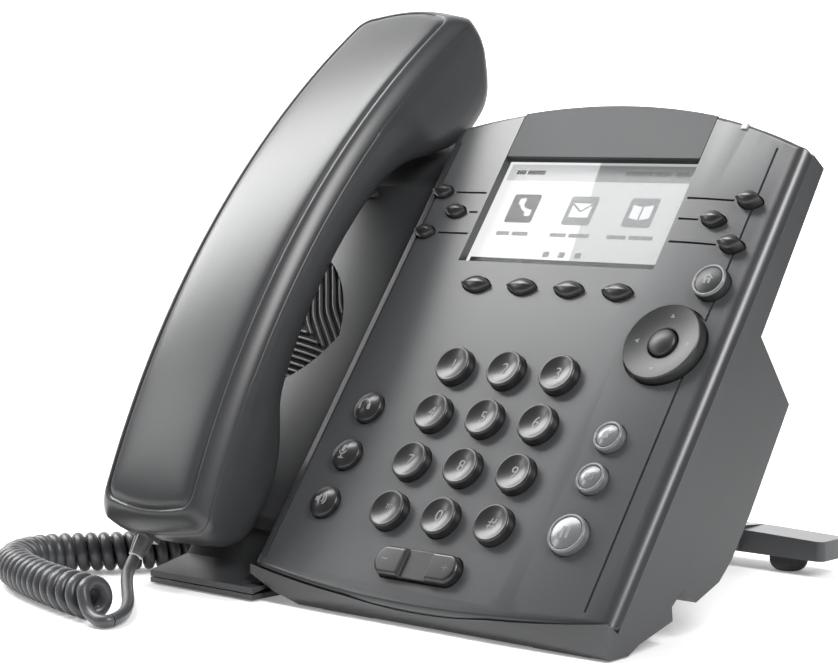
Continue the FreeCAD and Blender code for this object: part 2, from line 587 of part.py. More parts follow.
def cut_rear_details(body):
    windows = new_sketch(body, "XY_Plane", "socket_windows", "-bulgeBack - 3")
    for left, right in SOCKET_BLOCKS.values():
        rectangle(windows, f"{left} - seam", "jackV - blockHalf - seam", f"{right} + seam", "jackV + blockHalf + seam")
    pocket(body, windows, "bulgeBack + 3 - jackFront", "socket_window_cut")
    screws = new_sketch(body, "XY_Plane", "screw_holes", "-backNear - 5")
    for across, upward in SCREWS:
        circle(screws, across, upward, "1.7")
    pocket(body, screws, "10", "screw_hole_cut")
    for row, height in enumerate(SCREW_ROWS):
        heads = new_sketch(body, "XY_Plane", f"screw_head_recesses_{row}", "-backNear - 5")
        for across in SCREW_COLUMNS:
            circle(heads, across, height, "3.2")
        pocket(body, heads, f"backNear + 5 + {back_level(height)} + 1.3", f"screw_head_cut_{row}")
    vents = new_sketch(body, "XY_Plane", "vent_slots", "-backNear - 5")
    for index in range(9):
        across = f"{2 + 5 * index}"
        rectangle(vents, f"{across} - 1", "118", f"{across} + 1", "136")
    pocket(body, vents, "8", "vent_cut")


SOCKET_BLOCKS = {"audio_jacks": ("-69", "-42.3"), "network_jacks": ("42.5", "86")}
SOCKETS = {
    "audio_jacks": [("-62", "handsetWide", "handsetTall"), ("-47", "handsetWide", "handsetTall")],
    "network_jacks": [("50", "networkWide", "networkTall"), ("66", "networkWide", "networkTall")],
}
SCREW_COLUMNS = ["-28", "82"]
SCREW_ROWS = ["112", "144"]
SCREWS = [(across, upward) for across in SCREW_COLUMNS for upward in SCREW_ROWS]


def socket_blocks():
    """The two blocks of sockets, which fill windows in the back of the rear cover."""
    for label, (left, right) in SOCKET_BLOCKS.items():
        body = new_body(label, face_placement())
        sketch = new_sketch(body, "XY_Plane", "block_outline", "-jackBack")
        rectangle(sketch, left, "jackV - blockHalf", right, "jackV + blockHalf")
        pad(body, sketch, "jackBack - jackFront", "block_pad")
        mouths = new_sketch(body, "XY_Plane", "mouths", "-jackBack - 1")
        for across, wide, tall in SOCKETS[label]:
            rectangle(mouths, f"{across} - {wide} / 2", f"jackV - {tall} / 2", f"{across} + {wide} / 2",
                      f"jackV + {tall} / 2")
        if label == "network_jacks":
            circle(mouths, "powerU", "jackV", "powerRadius")
            circle(mouths, "powerU", "jackV", "powerPinRadius")
        pocket(body, mouths, "jackDeep + 1", "mouth_cut")


def cradle_cover():
    body = new_body("cradle_cover", face_placement())
    side = new_sketch(body, "YZ_Plane", "cradle_section", "baseLeft")
    lip_low, lip_high = at_world(SLAB_FRONT, 2.4), at_world(SLAB_FRONT, 4.3)
    outline(side, [("169", "-19.6"), ("163", "-16.9"), ("157", "-12.6"), ("150", "-9.7"), ("144", "-9.5"),
                   ("139", "-cradleFace"), ("17.5", "-cradleFace"), ("15.5", "-11"),
                   ("4", "-11"), ("-1.0", "-6.4"), lip_high, lip_low, ("-2.2", "-8.3"), ("3.0", "-13.2"),
                   ("17.3", "-13.2"), ("19.5", "-cradleFace - cradleThick"),
                   ("138", "-cradleFace - cradleThick"),
                   ("143.2", "-11.9"), ("150.3", "-11.9"), ("156.4", "-14.9"), ("162.2", "-19.2"),
                   ("168.4", "-22")])
    pad(body, side, "cradleRight - baseLeft", "cradle_pad")
    lip = new_sketch(body, "YZ_Plane", "slab_lip", "cradleRight - 1")
    outline(lip, [lip_high, lip_low, at_world(CHIN_NEAR, 3.2), at_world(CHIN_NEAR, 4.3)])
    pad(body, lip, "slabRight - cradleRight + 1", "slab_lip_pad")
    dress(body, "Fillet", lambda e: runs_along(e, 0, 30) and e.BoundBox.ZMin > -size("cradleFace") - 0.1
          and e.BoundBox.YMin > 10, "1.2", "cradle_rounding")
    grille = new_sketch(body, "XY_Plane", "grille_room", "1")
    grille_outline(grille, "0.2")
    pocket(body, grille, "1 + cradleFace + cradleThick + 1", "grille_room_cut", against=True)
    hook = new_sketch(body, "XY_Plane", "hook_hole", "1")
    circle(hook, "hookU", "hookV", "hookRadius + keyGap")
    rectangle(hook, "hookU - tabWidth / 2", "tabV", "hookU + tabWidth / 2", "tabV + 2.2")
    pocket(body, hook, "12", "hook_cut", against=True)


def grille_outline(sketch, gap):
    """A rounded three-cornered shape that points up the slope."""
    top, low_right, low_left = ("grilleU - 8", f"grilleV + 25 + {gap}"), \
        (f"grilleU + 13.6 + {gap}", "grilleV - 3.5"), (f"grilleU - 8 - {gap}", f"grilleV - 24 - {gap}")
    outline(sketch, [(low_left[0], low_left[1], "out", "34"), (low_right[0], low_right[1], "out", "44"),
                     (top[0], top[1])])


def speaker():
    body = new_body("speaker_grille", face_placement())
    sketch = new_sketch(body, "XY_Plane", "grille_plate", "-cradleFace - grilleThick - 0.3")
    grille_outline(sketch, "0")
    pad(body, sketch, "grilleThick", "grille_pad")
    slots = new_sketch(body, "XY_Plane", "grille_slots", "1")
    for index in range(-4, 5):
        middle = f"grilleV + {index} * slatPitch"
        rectangle(slots, "grilleU - 6", f"{middle} - slotWidth / 2",
                  f"grilleU + {8.0 - abs(index + 1.5) * 1.5:.2f}", f"{middle} + slotWidth / 2")
    pocket(body, slots, "12", "slot_cut", against=True)
    revolved_key("speaker_driver", "grilleU + 4.6", "grilleV - 27", [
        ("0", "-cradleFace - cradleThick - speakerDepth - magnetDepth"),
        ("magnetRadius", "-cradleFace - cradleThick - speakerDepth - magnetDepth"),
        ("magnetRadius", "-cradleFace - cradleThick - speakerDepth"),
        ("coneRadius", "-cradleFace - cradleThick - 3"), ("coneRadius", "-cradleFace - cradleThick - 1"),
        ("0", "-cradleFace - cradleThick - speakerDepth + 1.5")])


def hook_parts():
    revolved_key("hook_switch", "hookU", "hookV", [
        ("0", "-hookFloor - 3"), ("hookRadius", "-hookFloor - 3"), ("hookRadius", "-hookDrop"),
        ("0", "-hookDrop")])
    body = new_body("hook_tab", face_placement())
    sketch = new_sketch(body, "XY_Plane", "tab_outline", "-cradleFace - cradleThick")
    rectangle(sketch, "hookU - tabWidth / 2 + 0.2", "tabV + 0.2", "hookU + tabWidth / 2 - 0.2", "tabV + 2.0")
    pad(body, sketch, "cradleThick + tabProud", "tab_pad")


def stand():
    body = new_body("stand")
    arm = new_sketch(body, "YZ_Plane", "arm_side", "standLeft")
    placement = face_placement()

    def at_face(upward, out):
        point = placement.multVec(V(0, upward, out))
        return f"{point.y:.4f}", f"{point.z:.4f}"
    back = -SIZES["bulgeBack"] - 0.3
    outline(arm, [at_face(58, back), at_face(66, back - 4), ("barNear", "barFloor"),
    ("barFar - 2", "barFloor"),
                  ("barFar", "barFloor + 2"), ("barFar", "barTop"), ("barNear", "barCrown"),
                  at_face(73, back - 4), at_face(84, back - 3), at_face(86, back)])
    pad(body, arm, "standRight - standLeft", "arm_pad")
    bar = new_sketch(body, "XZ_Plane", "bar_front", "-barFar")
    outline(bar, [("barLeft", "barFloor"), ("barRight", "barFloor"), ("barRight", "barTop - 0.8"),
                  ("barCrownRight", "barTop"), ("barCrownLeft", "barTop"), ("barLeft", "barTop - 0.8")])
    pad(body, bar, "barFar - barNear", "bar_pad")
    ends = (size("barLeft"), size("barRight"))
    dress(body, "Fillet", lambda e: runs_along(e, 2, 4) and min(abs(e.BoundBox.XMin - x) for x in ends) < 0.01,
          "2.5", "bar_rounding")


def feet():
    """Two round domes under the stand's bar and three flat pads under the console's front edge."""
    middle = size("(barNear + barFar) / 2")
    solids = []
    for across in ("domeLeft", "domeRight"):
        dome = Part.makeCylinder(size("domeRadius"), size("barFloor"), V(size(across), middle, 0))
        rim = [edge for edge in dome.Edges if level_at(edge, 0)]
        solids.append(dome.makeFillet(size("domeShoulder"), rim))
    for left in ("padLeft", "padMiddle", "padRight"):
        corner = V(size(left), CHIN_FAR - size("padNear"), 0)
        solids.append(Part.makeBox(size("padLong"), size("padDeep"), size("standoff"), corner))
    free_feature("rubber_feet", Part.makeCompound(solids))


def free_feature(label, shape, placement=None):
    feature = DOC.addObject("Part::Feature", label)
    feature.Label = label
    feature.Shape = shape
    feature.Placement = placement or FreeCAD.Placement()
    FINISHED.append(feature)
    return feature


def screws():
    solids = []
    for across, upward in SCREWS:
        foot = V(float(across), float(upward), size(back_level(upward)) + 0.1)
        head = Part.makeCylinder(3.0, 1.1, foot)
        shank = Part.makeCylinder(1.5, 2.8, foot)
        solids.append(head.fuse(shank).removeSplitter())
    free_feature("housing_screws", Part.makeCompound(solids), face_placement())


def parting_line():
    """Corners of the handset's parting line, from its top end to its bottom end."""
    return [("handsetTop", "partingHigh", "out", "partingArc"), ("handsetBottom", "partingLow")]


def handset_plan(body):
    """Rounds the handset's two ends by cutting away what lies outside its plan."""
    plan = new_sketch(body, "XY_Plane", "plan", "-40")
    rectangle(plan, "handsetLeft - 5", "handsetBottom - 10", "handsetRight + 5", "handsetTop + 15")
    low, high = "handsetBottom + 2.4", "handsetTop - handsetTopRise"
    outline(plan, [("handsetLeft", low, "out", "180"), ("handsetRight", low),
                   ("handsetRight", high, "out", "52"),
                   ("handsetLeft", high)])
    pocket(body, plan, "90", "plan_cut")


def upper_shell():
    body = new_body("handset_upper_shell", face_placement())
    side = new_sketch(body, "YZ_Plane", "side", "handsetLeft")
    outline(side, [("handsetBottom", "partingLow + 0.1", "in", "partingArc"),
                   ("handsetTop", "partingHigh + 0.1"),
                   ("handsetTop - 1", "crownHigh", "out", "crownArc"), ("handsetBottom + 1.5", "crownLow")])
    pad(body, side, "handsetRight - handsetLeft", "block")
    handset_plan(body)
    dress(body, "Fillet", lambda e: e.BoundBox.YLength > 150 and e.BoundBox.XLength < 0.01
          and e.BoundBox.ZMax > 29, "handsetEdgeRound", "edge_rounding")
    inner = new_sketch(body, "YZ_Plane", "inner_side", "handsetLeft + handsetWall")
    outline(inner, [("handsetBottom + 5", "partingLow - 3", "in", "partingArc"),
                    ("handsetTop - 13", "partingHigh - 1"),
                    ("handsetTop - 13", "crownHigh + 0.4", "out", "crownArc"),
                    ("handsetBottom + 5", "crownLow - 1")])
    pocket(body, inner, "handsetRight - handsetLeft - 2 * handsetWall", "inner_cut")


def belly():
    """The handset's underside, from its bottom end to its top end."""
    return [("handsetBottom + 0.3", "6"), ("3", "-1"), ("11", "-5.5"), ("29", "-5.5"), ("38", "-1.5"),
            ("50", "7.5", "in", "270"), ("134", "8"), ("150", "-5.6"), ("160", "-12.9"), ("168", "-16.6"),
            ("178", "-17.7"), ("184.5", "-15"), ("190", "-9.5"), ("194.5", "-3")]


def lower_shell():
    body = new_body("handset_lower_shell", face_placement())
    side = new_sketch(body, "YZ_Plane", "side", "handsetLeft")
    outline(side, belly() + parting_line())
    pad(body, side, "handsetRight - handsetLeft", "block")
    handset_plan(body)
    inner = new_sketch(body, "YZ_Plane", "inner_side", "handsetLeft + handsetWall")
    outline(inner, [("3", "4"), ("12", "-3.3"), ("28", "-3.3"), ("37", "1"), ("49", "10", "in", "270"),
                    ("135", "10.5"),
                    ("152", "-5"), ("168", "-12.4"), ("176", "-13.6"), ("182", "-11.5"), ("188", "-5"),
                    ("handsetTop - 13", "partingHigh + 5"),
                    ("handsetTop - 13", "partingHigh + 9", "out", "partingArc"),
                    ("3", "partingLow + 6")])
    pocket(body, inner, "handsetRight - handsetLeft - 2 * handsetWall", "inner_cut")
    jack = new_sketch(body, "XZ_Plane", "jack_mouth", "5")
    rectangle(jack, "plugU - handsetWide / 2", "plugN - handsetTall / 2", "plugU + handsetWide / 2",
              "plugN + handsetTall / 2")
    pocket(body, jack, "10", "jack_cut", against=True)


def capsule(label, upward, floor, radius, deep):
    revolved_key(label, "(handsetLeft + handsetRight) / 2", upward, [
        ("0", floor), (radius, floor), (radius, f"{floor} + {deep}"), ("0", f"{floor} + {deep}")])


def plug(label, across, upward, out, direction):
    """A modular plug with its cable boot. It points along the face frame's y axis, or along its z axis."""
    wide, tall = size("handsetWide - 2 * plugSide"), size("handsetTall - 2 * plugSide")
    deep, outside = 7.0, size("plugOut")
    housing = Part.makeBox(wide, tall, deep, V(-wide / 2, -tall / 2, -0.0))
    latch = Part.makeBox(3.0, 0.2, deep - 1.0, V(-1.5, tall / 2, 0.0))
    boot = Part.makeCone(size("cordDiameter") * 0.56, 3.0, outside, V(0, 0, -outside))
    shape = housing.fuse([latch, boot]).removeSplitter()
    turn = FreeCAD.Rotation(V(0, 0, 1), V(0, 1, 0)) if direction == "y" else FreeCAD.Rotation()
    local = FreeCAD.Placement(V(across, upward, out), turn)
    free_feature(label, shape, face_placement().multiply(local))


LEAD_ROUTE = [(-76.8, -80.8, 8.9), (-74.3, -85.4, 6.2), (-68.0, -91.5, 4.9), (-58.5, -99.5, 4.0),
              (-47.0, -109.2, 3.1),
              (-38.6, -118.5, 2.4), (-35.2, -127.5, 2.1)]
COIL_ROUTE = [(-45.2, -121.0, 6.2), (-57.0, -119.0, 6.2), (-70.0, -115.8, 6.2), (-84.0, -112.0, 6.2),
              (-99.0, -106.5, 6.2), (-110.5, -100.0, 6.2), (-117.0, -90.5, 6.2), (-116.5, -80.5, 6.2),
              (-109.0, -71.0, 6.2), (-99.5, -60.0, 6.2), (-93.0, -46.0, 6.2), (-91.0, -30.0, 6.2),
              (-92.0, -13.0, 6.2), (-94.5, 6.0, 6.2), (-95.5, 24.0, 6.2), (-97.0, 41.0, 6.2)]
TAIL_ROUTE = [(-62.0, -2.3, 23.5), (-62.0, 3.4, 19.3), (-62.2, 11.5, 12.6), (-63.0, 22.0, 6.6),
              (-64.5, 33.5, 3.2),
              (-66.5, 45.0, 2.1), (-70.5, 56.0, 2.1), (-79.5, 64.0, 2.1), (-91.0, 62.0, 2.1),
              (-97.3, 52.0, 2.4),
              (-97.6, 42.8, 3.2)]


def route_path(label, route):
    """Straight runs joined by the largest tangent arcs that the runs allow."""
    points = [V(*p) for p in route]
    edges, radii, start = [], [], points[0]
    for before, corner, after in zip(points, points[1:], points[2:]):
        inward, outward = (corner - before), (after - corner)
        turn = inward.getAngle(outward)
        reach = 0.45 * min(inward.Length, outward.Length)
        radii.append(reach / math.tan(turn / 2))
        inward.normalize()
        outward.normalize()
        entry, leave = corner - inward * reach, corner + outward * reach
        bisector = (outward - inward).normalize()
        centre = corner + bisector * (radii[-1] / math.cos(turn / 2))
        middle = centre - bisector * radii[-1]
        edges += [Part.LineSegment(start, entry).toShape(), Part.Arc(entry, middle, leave).toShape()]
        start = leave
    edges.append(Part.LineSegment(start, points[-1]).toShape())
    print(label, "arc radii", " ".join(f"{r:.0f}" for r in radii))
    return Part.Wire(edges)


def tube(label, route, diameter):
    path = route_path(label, route)
    direction = V(*route[1]) - V(*route[0])
    section = Part.Wire([Part.Circle(V(*route[0]), direction, diameter / 2).toShape()])
    shape = path.makePipeShell([section], True, False)
    expected = math.pi * diameter ** 2 / 4 * path.Length
    print(label, f"length {path.Length:.1f} mm, volume {shape.Volume:.0f} of {expected:.0f}")
    if abs(shape.Volume / expected - 1) > 0.01:
        raise RuntimeError(f"{label} has the wrong volume")
    free_feature(label, shape)


def cord():
    plug("handset_plug", size("plugU"), -2.0 + 0.3, size("plugN"), "y")
    plug("base_plug", -62.0, size("jackV"), -size("bulgeBack") + 0.6, "z")
    tube("cord_lead", LEAD_ROUTE, size("cordDiameter"))
    tube("cord_coil", COIL_ROUTE, size("coilDiameter"))
    tube("cord_tail", TAIL_ROUTE, size("cordDiameter"))


def check_and_write():
    DOC.recompute()
    for item in DOC.Objects:
        if any(word in item.State for word in ("Invalid", "Error")):
            raise RuntimeError(f"{item.Label} failed: {item.State}")
    os.makedirs("parts", exist_ok=True)
    for item in FINISHED:
        shape = item.Shape
        if shape.isNull() or not shape.isValid() or not shape.Solids:
            raise RuntimeError(f"{item.Label} has no valid solid")
        shape.exportStep(f"parts/{item.Label}.step")
    box = FreeCAD.BoundBox()
    for item in FINISHED:
        box.add(item.Shape.BoundBox)
    print(f"{len(FINISHED)} pieces, {box.XMin:.1f} {box.XMax:.1f}  {box.YMin:.1f} {box.YMax:.1f}  "
          f"{box.ZMin:.1f} {box.ZMax:.1f}")


fill_sheet()
front_cover()
display_pieces()
round_keys()
navigation()
bar_keys()
inner_console()
rear_cover()
socket_blocks()
cradle_cover()
speaker()
hook_parts()
stand()
feet()
screws()
upper_shell()
lower_shell()
capsule("receiver_capsule", "earV", "-6.4", "capsuleRadius", "capsuleDeep")
capsule("microphone_capsule", "mouthV", "-3.1", "microphoneRadius", "microphoneDeep")
cord()
check_and_write()
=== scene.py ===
"""Looks of the desk IP phone: detailed pieces, materials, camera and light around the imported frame."""
import math

import bmesh
import bpy
from mathutils import Matrix, Vector


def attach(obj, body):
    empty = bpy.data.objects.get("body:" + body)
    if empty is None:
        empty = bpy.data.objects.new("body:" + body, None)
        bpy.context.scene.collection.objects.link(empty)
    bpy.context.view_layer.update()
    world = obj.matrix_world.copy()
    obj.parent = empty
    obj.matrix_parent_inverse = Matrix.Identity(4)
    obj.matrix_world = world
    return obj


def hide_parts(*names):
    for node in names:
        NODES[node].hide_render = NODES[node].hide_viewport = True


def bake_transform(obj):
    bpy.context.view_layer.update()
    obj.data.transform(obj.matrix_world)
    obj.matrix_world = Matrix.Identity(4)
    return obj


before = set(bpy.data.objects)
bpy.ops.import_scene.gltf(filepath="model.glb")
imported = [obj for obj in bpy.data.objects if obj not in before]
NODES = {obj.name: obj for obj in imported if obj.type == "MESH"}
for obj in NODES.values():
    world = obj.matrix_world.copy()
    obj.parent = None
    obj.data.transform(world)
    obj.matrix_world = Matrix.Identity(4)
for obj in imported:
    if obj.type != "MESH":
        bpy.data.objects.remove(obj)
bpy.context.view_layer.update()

MM = 0.001

# The sloping face: x across, y up the slope, z out of the face, in millimetres. Its zero is on the low edge.
TILT = math.radians(54.0)
FACE_Y, FACE_Z = -68.1, 10.7
FACE = Matrix.Translation((0, FACE_Y * MM, FACE_Z * MM)) @ Matrix.Rotation(TILT, 4, "X") @ Matrix.Scale(MM, 4)


def face_box(node):
    """A CAD node's lowest and highest corners in the face frame."""
    places = [FACE.inverted() @ vertex.co for vertex in NODES[node].data.vertices]
    return [Vector([pick(place[axis] for place in places) for axis in range(3)]) for pick in (min, max)]


def face_centre(node):
    """The middle of a CAD node on the face, to a hundredth of a millimetre."""
    middle = sum(face_box(node), Vector()) / 2
    return round(middle.x, 2), round(middle.y, 2)


# ---------------------------------------------------------------- materials

def new_material(name):
    material = bpy.data.materials.new(name)
    material.use_nodes = True
    tree = material.node_tree
    tree.nodes.clear()
    output = tree.nodes.new("ShaderNodeOutputMaterial")
    shader = tree.nodes.new("ShaderNodeBsdfPrincipled")
    tree.links.new(shader.outputs["BSDF"], output.inputs["Surface"])
    return material, tree, shader


def noise(tree, scale, detail=2.0, roughness=0.5, stretch=None):
    coordinates = tree.nodes.new("ShaderNodeTexCoord")
    texture = tree.nodes.new("ShaderNodeTexNoise")
    texture.inputs["Scale"].default_value = scale
    texture.inputs["Detail"].default_value = detail
    texture.inputs["Roughness"].default_value = roughness
    if stretch:
        mapping = tree.nodes.new("ShaderNodeMapping")
        mapping.inputs["Scale"].default_value = stretch
        tree.links.new(coordinates.outputs["Object"], mapping.inputs["Vector"])
        tree.links.new(mapping.outputs["Vector"], texture.inputs["Vector"])
    else:
        tree.links.new(coordinates.outputs["Object"], texture.inputs["Vector"])
    return texture.outputs["Fac"]


def ramp(tree, value, low, high, from_low=0.3, from_high=0.7):
    node = tree.nodes.new("ShaderNodeMapRange")
    node.inputs["From Min"].default_value = from_low
    node.inputs["From Max"].default_value = from_high
    node.inputs["To Min"].default_value = low
    node.inputs["To Max"].default_value = high
    tree.links.new(value, node.inputs["Value"])
    return node.outputs["Result"]


def mix_colours(tree, factor, first, second):
    node = tree.nodes.new("ShaderNodeMix")
    node.data_type = "RGBA"
    colour_a, colour_b = [s for s in node.inputs if s.type == "RGBA"]
    for socket, colour in ((colour_a, first), (colour_b, second)):
        if isinstance(colour, tuple):
            socket.default_value = (*colour, 1.0)
        else:
            tree.links.new(colour, socket)
    tree.links.new(factor, node.inputs["Factor"])
    return next(s for s in node.outputs if s.type == "RGBA")


def tinted(colour, factor, lift=0.0):
    return tuple(min(1.0, channel * factor + lift) for channel in colour)


def add_bump(tree, shader, height, strength, depth):
    bump = tree.nodes.new("ShaderNodeBump")
    bump.inputs["Strength"].default_value = strength
    bump.inputs["Distance"].default_value = depth
    tree.links.new(height, bump.inputs["Height"])
    tree.links.new(bump.outputs["Normal"], shader.inputs["Normal"])


def moulded(name, colour, roughness, grain=4200.0, depth=0.00002, wear=0.35, coat=0.0):
    """A moulded plastic: fine texture, slow colour and gloss variation, and paler worn edges."""
    material, tree, shader = new_material(name)
    slow = noise(tree, 28.0, 3.0)
    dust = noise(tree, 900.0)
    patches = ramp(tree, slow, 0.0, 1.0, 0.15, 0.85)
    base = mix_colours(tree, patches, tinted(colour, 0.86), tinted(colour, 1.16))
    speckle = mix_colours(tree, ramp(tree, dust, 0.0, 0.12), base, tinted(colour, 1.5, 0.01))
    geometry = tree.nodes.new("ShaderNodeNewGeometry")
    edge = ramp(tree, geometry.outputs["Pointiness"], 0.0, wear, 0.53, 0.62)
    worn = mix_colours(tree, edge, speckle, tinted(colour, 1.9, 0.02))
    tree.links.new(worn, shader.inputs["Base Color"])
    gloss = ramp(tree, slow, roughness * 0.94, min(1.0, roughness * 1.06), 0.15, 0.85)
    tree.links.new(gloss, shader.inputs["Roughness"])
    add_bump(tree, shader, noise(tree, grain), 0.25, depth)
    if coat:
        shader.inputs["Coat Weight"].default_value = coat
        shader.inputs["Coat Roughness"].default_value = 0.08
    return material


def clear_plastic(name, colour, roughness, alpha):
    """A thin clear piece: mostly see-through, with a soft shine of its own."""
    material, tree, shader = new_material(name)
    haze = noise(tree, 60.0)
    tree.links.new(mix_colours(tree, ramp(tree, haze, 0.0, 1.0), tinted(colour, 0.9), colour),
                   shader.inputs["Base Color"])
    tree.links.new(ramp(tree, haze, roughness * 0.8, roughness * 1.2), shader.inputs["Roughness"])
    shader.inputs["Alpha"].default_value = alpha
    shader.inputs["IOR"].default_value = 1.46
    add_bump(tree, shader, noise(tree, 500.0, 1.0), 0.03, 0.00001)
    return material


# The painted reflection on the display: the part with it and the part without it meet where x - lean * z
# passes this level, in metres.
REFLECTION_EDGE_LEAN, REFLECTION_EDGE_AT, REFLECTION_EDGE_BLUR = -0.142, 0.0381, 0.0006


def glow_with_painted_reflection(name, reflected_colour, unreflected_colour):
    """A backlit display with a painted reflection: the glass's reflection is painted into the glow as a
    second level that meets the plain level along a slanting line, with a fine pixel grid.
    """
    material, tree, shader = new_material(name)
    coordinates = tree.nodes.new("ShaderNodeTexCoord")
    split = tree.nodes.new("ShaderNodeSeparateXYZ")
    tree.links.new(coordinates.outputs["Object"], split.inputs["Vector"])
    lean = tree.nodes.new("ShaderNodeMath")
    lean.operation = "MULTIPLY_ADD"
    lean.inputs[1].default_value = -REFLECTION_EDGE_LEAN
    tree.links.new(split.outputs["Z"], lean.inputs[0])
    tree.links.new(split.outputs["X"], lean.inputs[2])
    # The painted reflection's mask: 0 on the side with the reflection, 1 beyond the slanting line.
    level = ramp(tree, lean.outputs["Value"], 0.0, 1.0, REFLECTION_EDGE_AT, REFLECTION_EDGE_AT + REFLECTION_EDGE_BLUR)
    colour = mix_colours(tree, level, reflected_colour, unreflected_colour)
    grid = tree.nodes.new("ShaderNodeTexVoronoi")
    grid.inputs["Scale"].default_value = 3200.0
    tree.links.new(coordinates.outputs["Object"], grid.inputs["Vector"])
    cell = ramp(tree, grid.outputs["Distance"], 0.0, 0.06, 0.0, 1.0)
    shade = mix_colours(tree, cell, colour, tinted(unreflected_colour, 0.8))
    tree.links.new(shade, shader.inputs["Emission Color"])
    shader.inputs["Base Color"].default_value = (0.03, 0.03, 0.03, 1.0)
    shader.inputs["Emission Strength"].default_value = 1.0
    shader.inputs["Roughness"].default_value = 0.5
    return material


def plain_metal(name, colour, roughness):
    material, tree, shader = new_material(name)
    scratches = noise(tree, 900.0, 4.0, 0.6, (1.0, 8.0, 1.0))
    tree.links.new(mix_colours(tree, ramp(tree, scratches, 0.0, 1.0), tinted(colour, 0.8), colour),
                   shader.inputs["Base Color"])
    tree.links.new(ramp(tree, scratches, roughness * 0.7, roughness * 1.3), shader.inputs["Roughness"])
    shader.inputs["Metallic"].default_value = 1.0
    return material


SHELL = moulded("shell_plastic", (0.032, 0.033, 0.035), 0.29)
HANDSET = moulded("handset_plastic", (0.034, 0.035, 0.037), 0.33, depth=0.00001)
CRADLE = moulded("cradle_plastic", (0.034, 0.035, 0.037), 0.42)
TRIM = moulded("trim_plastic", (0.026, 0.027, 0.029), 0.58, depth=0.00001)
KEY = moulded("key_gloss", (0.012, 0.012, 0.013), 0.34, depth=0.000006, wear=0.15, coat=0.12)
NAV = moulded("nav_plastic", (0.016, 0.0165, 0.017), 0.42, depth=0.00001)
SMOKE = moulded("smoke_key", (0.105, 0.108, 0.112), 0.3, depth=0.000006, wear=0.5, coat=0.3)
SMOKE_RIM = moulded("smoke_rim", (0.12, 0.125, 0.13), 0.3, depth=0.000006, coat=0.2)
INK = moulded("white_ink", (0.2, 0.205, 0.21), 0.5, depth=0.000002, wear=0.0)
INK_DIM = moulded("grey_ink", (0.16, 0.165, 0.17), 0.5, depth=0.000002, wear=0.0)
GRILLE = moulded("grille_plastic", (0.040, 0.041, 0.043), 0.38)
# Near-black painted shade: it stands for the shade in the display's opening, under the grille's slats and in
# the handset's sound holes.
PAINTED_SHADE = moulded("painted_shade_black", (0.006, 0.006, 0.006), 0.8)
RUBBER = moulded("foot_rubber", (0.02, 0.02, 0.02), 0.85, grain=2500.0, depth=0.00005)
CORD = moulded("cord_jacket", (0.040, 0.041, 0.044), 0.36, depth=0.00001)
PLUG = moulded("plug_plastic", (0.10, 0.10, 0.105), 0.2, depth=0.000004, coat=0.4)
BOARD = moulded("board_green", (0.02, 0.11, 0.05), 0.4)
SILICONE = moulded("silicone_grey", (0.32, 0.33, 0.34), 0.7)
PAPER = moulded("cone_paper", (0.035, 0.033, 0.03), 0.9, grain=1500.0, depth=0.00008)
JACK = moulded("jack_plastic", (0.02, 0.02, 0.021), 0.45)
STEEL = plain_metal("screw_zinc", (0.55, 0.55, 0.57), 0.35)
WINDOW = clear_plastic("window_acrylic", (0.1, 0.1, 0.1), 0.12, 0.07)
LIGHT_PIPE = clear_plastic("light_pipe", (0.42, 0.43, 0.44), 0.25, 0.9)
# Each display colour is given twice: first with the painted reflection on the glass, then without it.
PANEL = glow_with_painted_reflection("lcd_panel", (1.0, 1.0, 1.0), (0.56, 0.57, 0.575))
LCD_WHITE = glow_with_painted_reflection("lcd_white", (0.95, 0.95, 0.95), (0.80, 0.81, 0.82))
LCD_GREY = glow_with_painted_reflection("lcd_grey", (0.24, 0.25, 0.26), (0.20, 0.21, 0.22))
LCD_BAR = glow_with_painted_reflection("lcd_bar", (0.66, 0.67, 0.68), (0.22, 0.225, 0.23))
LCD_SLATE = glow_with_painted_reflection("lcd_slate", (0.075, 0.076, 0.08), (0.09, 0.091, 0.095))


# ---------------------------------------------------------------- mesh helpers

FACE_PIECES = []


def add_object(name, mesh, materials, body, matrix=FACE, replaced=()):
    piece = bpy.data.objects.new(name, mesh)
    if matrix is FACE:
        FACE_PIECES.append(piece)
    bpy.context.scene.collection.objects.link(piece)
    piece.matrix_world = matrix
    for material in materials:
        piece.data.materials.append(material)
    bpy.context.view_layer.update()
    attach(piece, body)
    if replaced:
        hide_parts(*replaced)
    return piece


def settle_pieces():
    """Bakes the face frame into its pieces, so that their own coordinates are metres in the shared frame."""
    bpy.context.view_layer.update()
    for piece in FACE_PIECES:
        piece.data.transform(piece.matrix_world)
        piece.matrix_world = Matrix.Identity(4)
    bpy.context.view_layer.update()


def smooth_mesh(mesh, angle=35.0):
    for polygon in mesh.polygons:
        polygon.use_smooth = True
    limit = math.radians(angle)
    bm = bmesh.new()
    bm.from_mesh(mesh)
    for edge in bm.edges:
        if len(edge.link_faces) == 2 and edge.calc_face_angle(0.0) > limit:
            edge.smooth = False
    bm.to_mesh(mesh)
    bm.free()


def bm_to_mesh(bm, name, angle=35.0):
    bmesh.ops.recalc_face_normals(bm, faces=bm.faces)
    mesh = bpy.data.meshes.new(name)
    bm.to_mesh(mesh)
    bm.free()
    smooth_mesh(mesh, angle)
    return mesh


def evaluated_mesh(holder):
    """The mesh that a curve, a text or a piece with modifiers makes."""
    return bpy.data.meshes.new_from_object(holder.evaluated_get(bpy.context.evaluated_depsgraph_get()))


def curve_mesh(name, curve):
    """The mesh of a curve or a text, made by way of an object that is removed again."""
    holder = bpy.data.objects.new(name, curve)
    bpy.context.scene.collection.objects.link(holder)
    bpy.context.view_layer.update()
    mesh = evaluated_mesh(holder)
    bpy.data.objects.remove(holder)
    return mesh


